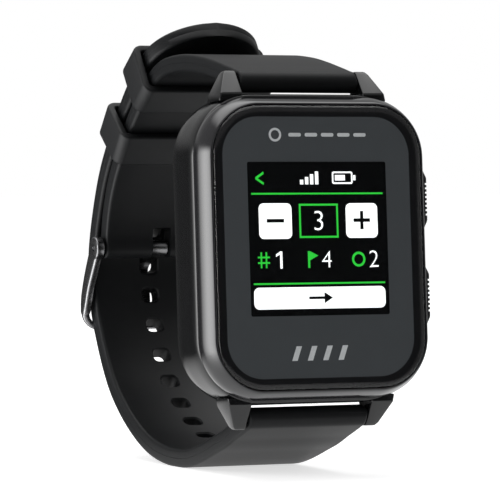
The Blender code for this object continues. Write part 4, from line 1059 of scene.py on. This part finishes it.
def build_keeper(name, body):
    """A soft ring round both straps, with full rounded edges."""
    tail = smooth_path(TAIL_PATH)
    height = KEEPER_HEIGHTS[name] * MM
    point, tangent, normal = path_frame(tail, distance_at_height(tail, height, 10 * MM))
    centre = point - normal * KEEPER_SINK
    tilt = math.atan2(-tangent.z, -tangent.y)
    half_l = KEEPER_LENGTH / 2
    edge = KEEPER_EDGE
    profile = arc((edge, half_l - edge), edge, 90, 180, 5) + arc((edge, -half_l + edge), edge, 180, 270, 5)
    edge = KEEPER_INNER_EDGE
    inner = KEEPER_WALL - edge
    profile += arc((inner, -half_l + edge), edge, 270, 360, 4)
    profile += arc((inner, half_l - edge), edge, 0, 90, 4)
    half_w = KEEPER_OPEN_HALF_W + KEEPER_WALL
    half_t = KEEPER_OPEN_HALF_T + KEEPER_WALL
    keeper = ring_loft(f"{name}_band", half_w, half_t, KEEPER_ROUND, profile, KEEPER_RUBBER)
    keeper.data.transform(Matrix.Translation(centre) @ Matrix.Rotation(tilt, 4, "X"))
    settle(keeper, body, name)


# ---------------------------------------------------------------- buckle

def build_buckle():
    """Steel frame with eyes, and the tongue."""
    buckle = loft("buckle_loop", buckle_sections(), STEEL)
    middle = (ARM_IN + ARM_OUT) / 2
    for side in (1, -1):
        eye = rod("eye", (side * middle, *BUCKLE_BAR), EYE_RADIUS, ARM_OUT - ARM_IN, ACROSS_AXIS, STEEL)
        soften(eye, EYE_EDGE, 3)
        boolean(buckle, eye, "UNION")
    boolean(buckle, rod("eye_hole", (0, *BUCKLE_BAR), BAR_HOLE_RADIUS, 3 * ARM_OUT, ACROSS_AXIS, STEEL))
    settle(buckle, "buckle_frame", "buckle_frame")
    build_tongue()


def buckle_sections():
    """Oval sections along the left arm, round the corner, across the bar and back up."""
    steps = 6
    arm = smooth_path(ARM_PATH, steps)
    arm_x = (ARM_IN + ARM_OUT) / 2
    half_thick = (ARM_OUT - ARM_IN) / 2
    stations = []
    for index, point in enumerate(arm):
        span = min(index // steps, len(ARM_HALF_WIDTHS) - 2)
        part = index / steps - span
        half_wide = MM * (ARM_HALF_WIDTHS[span] * (1 - part) + ARM_HALF_WIDTHS[span + 1] * part)
        stations.append((Vector((-arm_x, point.y, point.z)), half_thick, half_wide))
    bar_y, bar_z = FRONT_BAR
    start = arm[-1]
    for step in range(1, 12):
        angle = math.pi / 2 * step / 12
        x = -arm_x + BUCKLE_CORNER * (1 - math.cos(angle))
        z = start.z + (bar_z - start.z) * math.sin(angle)
        y = start.y + (bar_y - start.y) * math.sin(angle)
        across = half_thick + (FRONT_BAR_HALF_HEIGHT - half_thick) * step / 12
        stations.append((Vector((x, y, z)), across, FRONT_BAR_RADIUS))
    for part in (0.0, 0.33, 0.67):
        x = (-arm_x + BUCKLE_CORNER) * (1 - part)
        stations.append((Vector((x, bar_y, bar_z)), FRONT_BAR_HALF_HEIGHT, FRONT_BAR_RADIUS))
    mirrored = [(Vector((-point.x, point.y, point.z)), a, b) for point, a, b in reversed(stations)]
    stations.append((Vector((0, bar_y, bar_z)), FRONT_BAR_HALF_HEIGHT, FRONT_BAR_RADIUS))
    stations += mirrored
    centres = [station[0] for station in stations]
    sections = []
    for index, (centre, half_across, half_along) in enumerate(stations):
        before = centres[max(index - 1, 0)]
        after = centres[min(index + 1, len(centres) - 1)]
        tangent = (after - before).normalized()
        outward = Vector((0.0, 0.83, 0.56))
        outward = (outward - tangent * outward.dot(tangent)).normalized()
        sideways = tangent.cross(outward)
        ring = []
        power = 0.8 - 0.4 * min(1.0, (half_along - FRONT_BAR_RADIUS) / (0.5 * MM))
        for corner in range(36):
            angle = 2 * math.pi * corner / 36
            across = math.copysign(abs(math.sin(angle)) ** power, math.sin(angle))
            along = math.copysign(abs(math.cos(angle)) ** power, math.cos(angle))
            ring.append(centre + outward * half_along * along + sideways * half_across * across)
        sections.append(ring)
    return sections


def build_tongue():
    """Tongue with its barrel round the bar."""
    path = smooth_path(TONGUE_PATH, steps=20)
    length = path_length(path)
    sections = []
    for step in range(61):
        distance = length * step / 60
        point, tangent, normal = path_frame(path, distance)
        narrowing = 1 - 0.25 * eased((distance / length - 0.75) * 4)
        tip = 1 - 0.5 * eased((distance / length - 0.96) * 25)
        half_w = (TONGUE_HALF_W + TONGUE_SPREAD * eased((distance / length - 0.45) * 10)) * narrowing
        sections.append(band_section(point, normal, half_w, TONGUE_THICKNESS * tip))
    tongue = loft("tongue_bar", sections, STEEL)
    barrel = rod("barrel", (0, *BUCKLE_BAR), BARREL_RADIUS, 2 * BARREL_HALF_W, ACROSS_AXIS, STEEL)
    boolean(tongue, soften(barrel, 0.15 * MM, 3), "UNION")
    boolean(tongue, rod("bore", (0, *BUCKLE_BAR), BARREL_BORE, 8 * BARREL_HALF_W, ACROSS_AXIS, STEEL))
    settle(tongue, "buckle_tongue", "buckle_tongue")


def band_section(point, normal, half_w, thickness):
    """Rounded rectangular section."""
    half_t = thickness / 2
    outline = rounded_rectangle(half_w, half_t, min(0.3 * MM, half_t * 0.8), 4)
    return [point + Vector((x, 0.0, 0.0)) + normal * up for x, up in outline]


# ---------------------------------------------------------------- CAD nodes that stay as they are

def dress_cad_nodes():
    """Give every CAD node its procedural material."""
    looks = {
        GLOSS_BLACK: ("front_bezel",),
        CASE_BLACK: ("mid_case", "back_cover", "upper_button", "lower_button"),
        SEAL: ("glass_gasket", "back_gasket", "upper_button_seal", "lower_button_seal"),
        SCREEN_BLACK: ("display_panel", "cover_glass"),
        PLASTIC: ("backlight", "display_bracket", "inner_frame", "upper_button_switch",
                  "lower_button_switch"),
        BOARD: ("main_board",),
        CERAMIC: ("gps_antenna",),
        FOAM: ("battery_pad",),
        CELL: ("battery",),
        GOLD: ("display_flex", "charge_contact_1", "charge_contact_2", "charge_contact_3",
               "charge_contact_4"),
        RUBBER: ("tail_strap", "buckle_strap", "fixed_keeper", "free_keeper"),
    }
    chosen = {name: material for material, names in looks.items() for name in names}
    for name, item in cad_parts.items():
        item.data.materials.clear()
        item.data.materials.append(chosen.get(name, PIN_STEEL))


# ---------------------------------------------------------------- stage

def build_floor():
    """Pale floor just under the strap, square to the leaning watch."""
    bpy.ops.mesh.primitive_plane_add(size=8.0)
    floor = bpy.context.object
    floor.name = "floor"
    floor.location = (0.0, LOWEST_Y, CAD_LOW.z - FLOOR_GAP)
    floor.rotation_euler = (WATCH_LEAN, 0.0, 0.0)
    material, tree, shader = new_material("floor")
    shader.inputs["Base Color"].default_value = (0.86, 0.86, 0.86, 1.0)
    shader.inputs["Roughness"].default_value = 0.9
    shader.inputs["Specular IOR Level"].default_value = 0.0
    shader.inputs["Emission Color"].default_value = (1.0, 1.0, 1.0, 1.0)
    shader.inputs["Emission Strength"].default_value = 0.65
    darken_reflected_floor(tree, shader)
    floor.data.materials.append(material)


def darken_reflected_floor(tree, shader):
    """In reflections the pale sweep ends a little way from the watch, and the studio carries on below."""
    place = add_node(tree, "ShaderNodeNewGeometry")
    reach = add_node(tree, "ShaderNodeVectorMath", operation="LENGTH")
    wire(tree, place.outputs["Position"], reach, 0)
    fade = smooth_step(tree, reach.outputs["Value"], SWEEP_NEAR, SWEEP_FAR)
    path = add_node(tree, "ShaderNodeLightPath")
    amount = compute(tree, "MULTIPLY", fade, path.outputs["Is Glossy Ray"])
    gone = add_node(tree, "ShaderNodeBsdfTransparent")
    mix_shaders(tree, amount, shader, gone, tree.nodes["Material Output"])


def add_area(name, location, target, size, power):
    """A soft area light aimed at a point, not seen by the camera itself."""
    data = bpy.data.lights.new(name, "AREA")
    data.shape = "RECTANGLE"
    data.size, data.size_y = size
    data.energy = power
    lamp = bpy.data.objects.new(name, data)
    bpy.context.scene.collection.objects.link(lamp)
    lamp.location = location
    direction = Vector(target) - Vector(location)
    lamp.rotation_euler = direction.to_track_quat("-Z", "Y").to_euler()
    lamp.visible_camera = False
    lamp.visible_glossy = False


def build_lights():
    """Large soft boxes: a strong one on the left, one above, a weak fill on the right."""
    add_area("left_box", (-0.75, 0.10, 0.12), (0, 0, 0), (0.45, 0.8), 3.0)
    add_area("top_box", (0.05, 0.25, 0.80), (0, 0.02, 0), (0.7, 0.7), 2.5)
    add_area("right_box", (0.7, 0.5, 0.1), (0, 0, 0), (0.3, 0.6), 1.0)


def ramp(tree, value, stops):
    """Straight lines between (position, brightness) stops; returns brightness."""
    node = add_node(tree, "ShaderNodeValToRGB")
    node.color_ramp.interpolation = "LINEAR"
    elements = node.color_ramp.elements
    for position, brightness in stops:
        if 0.0 < position < 1.0:
            element = elements.new(position)
        else:
            element = elements[0] if position == 0.0 else elements[len(elements) - 1]
        share = brightness / BRIGHTEST
        element.color = (share, share, share, 1.0)
    wire(tree, value, node, "Fac")
    return compute(tree, "MULTIPLY", node.outputs["Color"], BRIGHTEST)


def blend(tree, factor, first, second):
    """Mix of two brightnesses; the second may be a plain number."""
    node = add_node(tree, "ShaderNodeMix", data_type="FLOAT")
    wire(tree, factor, node, "Factor")
    wire(tree, first, node, 2)
    if isinstance(second, float):
        node.inputs[3].default_value = second
    else:
        wire(tree, second, node, 3)
    return node.outputs[0]


def build_world():
    """White to the camera, even light for matt surfaces, a studio of soft boxes for reflections."""
    world = bpy.data.worlds.new("studio")
    bpy.context.scene.world = world
    world.use_nodes = True
    tree = world.node_tree
    background = tree.nodes["Background"]
    path = add_node(tree, "ShaderNodeLightPath")
    place = add_node(tree, "ShaderNodeTexCoord")
    parts = add_node(tree, "ShaderNodeSeparateXYZ")
    wire(tree, place.outputs["Generated"], parts, 0)
    heading = compute(tree, "ARCTAN2", parts.outputs["Y"], parts.outputs["X"])
    around = add_node(tree, "ShaderNodeMapRange", from_min=-math.pi, from_max=math.pi)
    wire(tree, heading, around, "Value")
    level = ramp(tree, around.outputs["Result"], STUDIO_RING)
    for low, high, brightness in STUDIO_HEIGHTS:
        level = blend(tree, smooth_step(tree, parts.outputs["Z"], low, high), level, brightness)
    even = add_node(tree, "ShaderNodeValue")
    even.outputs[0].default_value = EVEN_LIGHT
    lit = blend(tree, path.outputs["Is Glossy Ray"], even.outputs[0], level)
    wire(tree, blend(tree, path.outputs["Is Camera Ray"], lit, 1.0), background, "Strength")
    background.inputs["Color"].default_value = (1.0, 1.0, 1.0, 1.0)


def build_camera():
    """Camera with the turn, height and tilt of the reference view."""
    azimuth, elevation = CAMERA_AZIMUTH, CAMERA_ELEVATION
    back = Vector((
        math.sin(azimuth) * math.cos(elevation), -math.cos(azimuth) * math.cos(elevation),
        math.sin(elevation),
    ))
    right = Vector((math.cos(azimuth), math.sin(azimuth), 0.0))
    up = back.cross(right)
    rolled_right = right * math.cos(CAMERA_ROLL) + up * math.sin(CAMERA_ROLL)
    rolled_up = up * math.cos(CAMERA_ROLL) - right * math.sin(CAMERA_ROLL)
    data = bpy.data.cameras.new("camera")
    data.lens = CAMERA_LENS
    data.sensor_width = 36.0
    data.clip_start = 0.01
    data.clip_end = 20.0
    camera = bpy.data.objects.new("camera", data)
    bpy.context.scene.collection.objects.link(camera)
    turn = Matrix((rolled_right, rolled_up, back)).transposed().to_4x4()
    camera.matrix_world = Matrix.Translation(CAMERA_TARGET + back * CAMERA_DISTANCE) @ turn
    bpy.context.scene.camera = camera


dress_cad_nodes()
build_case()
build_bezel()
build_glass()
build_back()
build_display()
build_marks()
build_button("upper_button", 1)
build_button("lower_button", -1)
build_tail()
build_buckle_strap()
build_keeper("free_keeper", "free_keeper")
build_keeper("fixed_keeper", "case")
build_buckle()
build_floor()
build_lights()
build_world()
build_camera()
bpy.context.scene.view_settings.view_transform = "Standard"
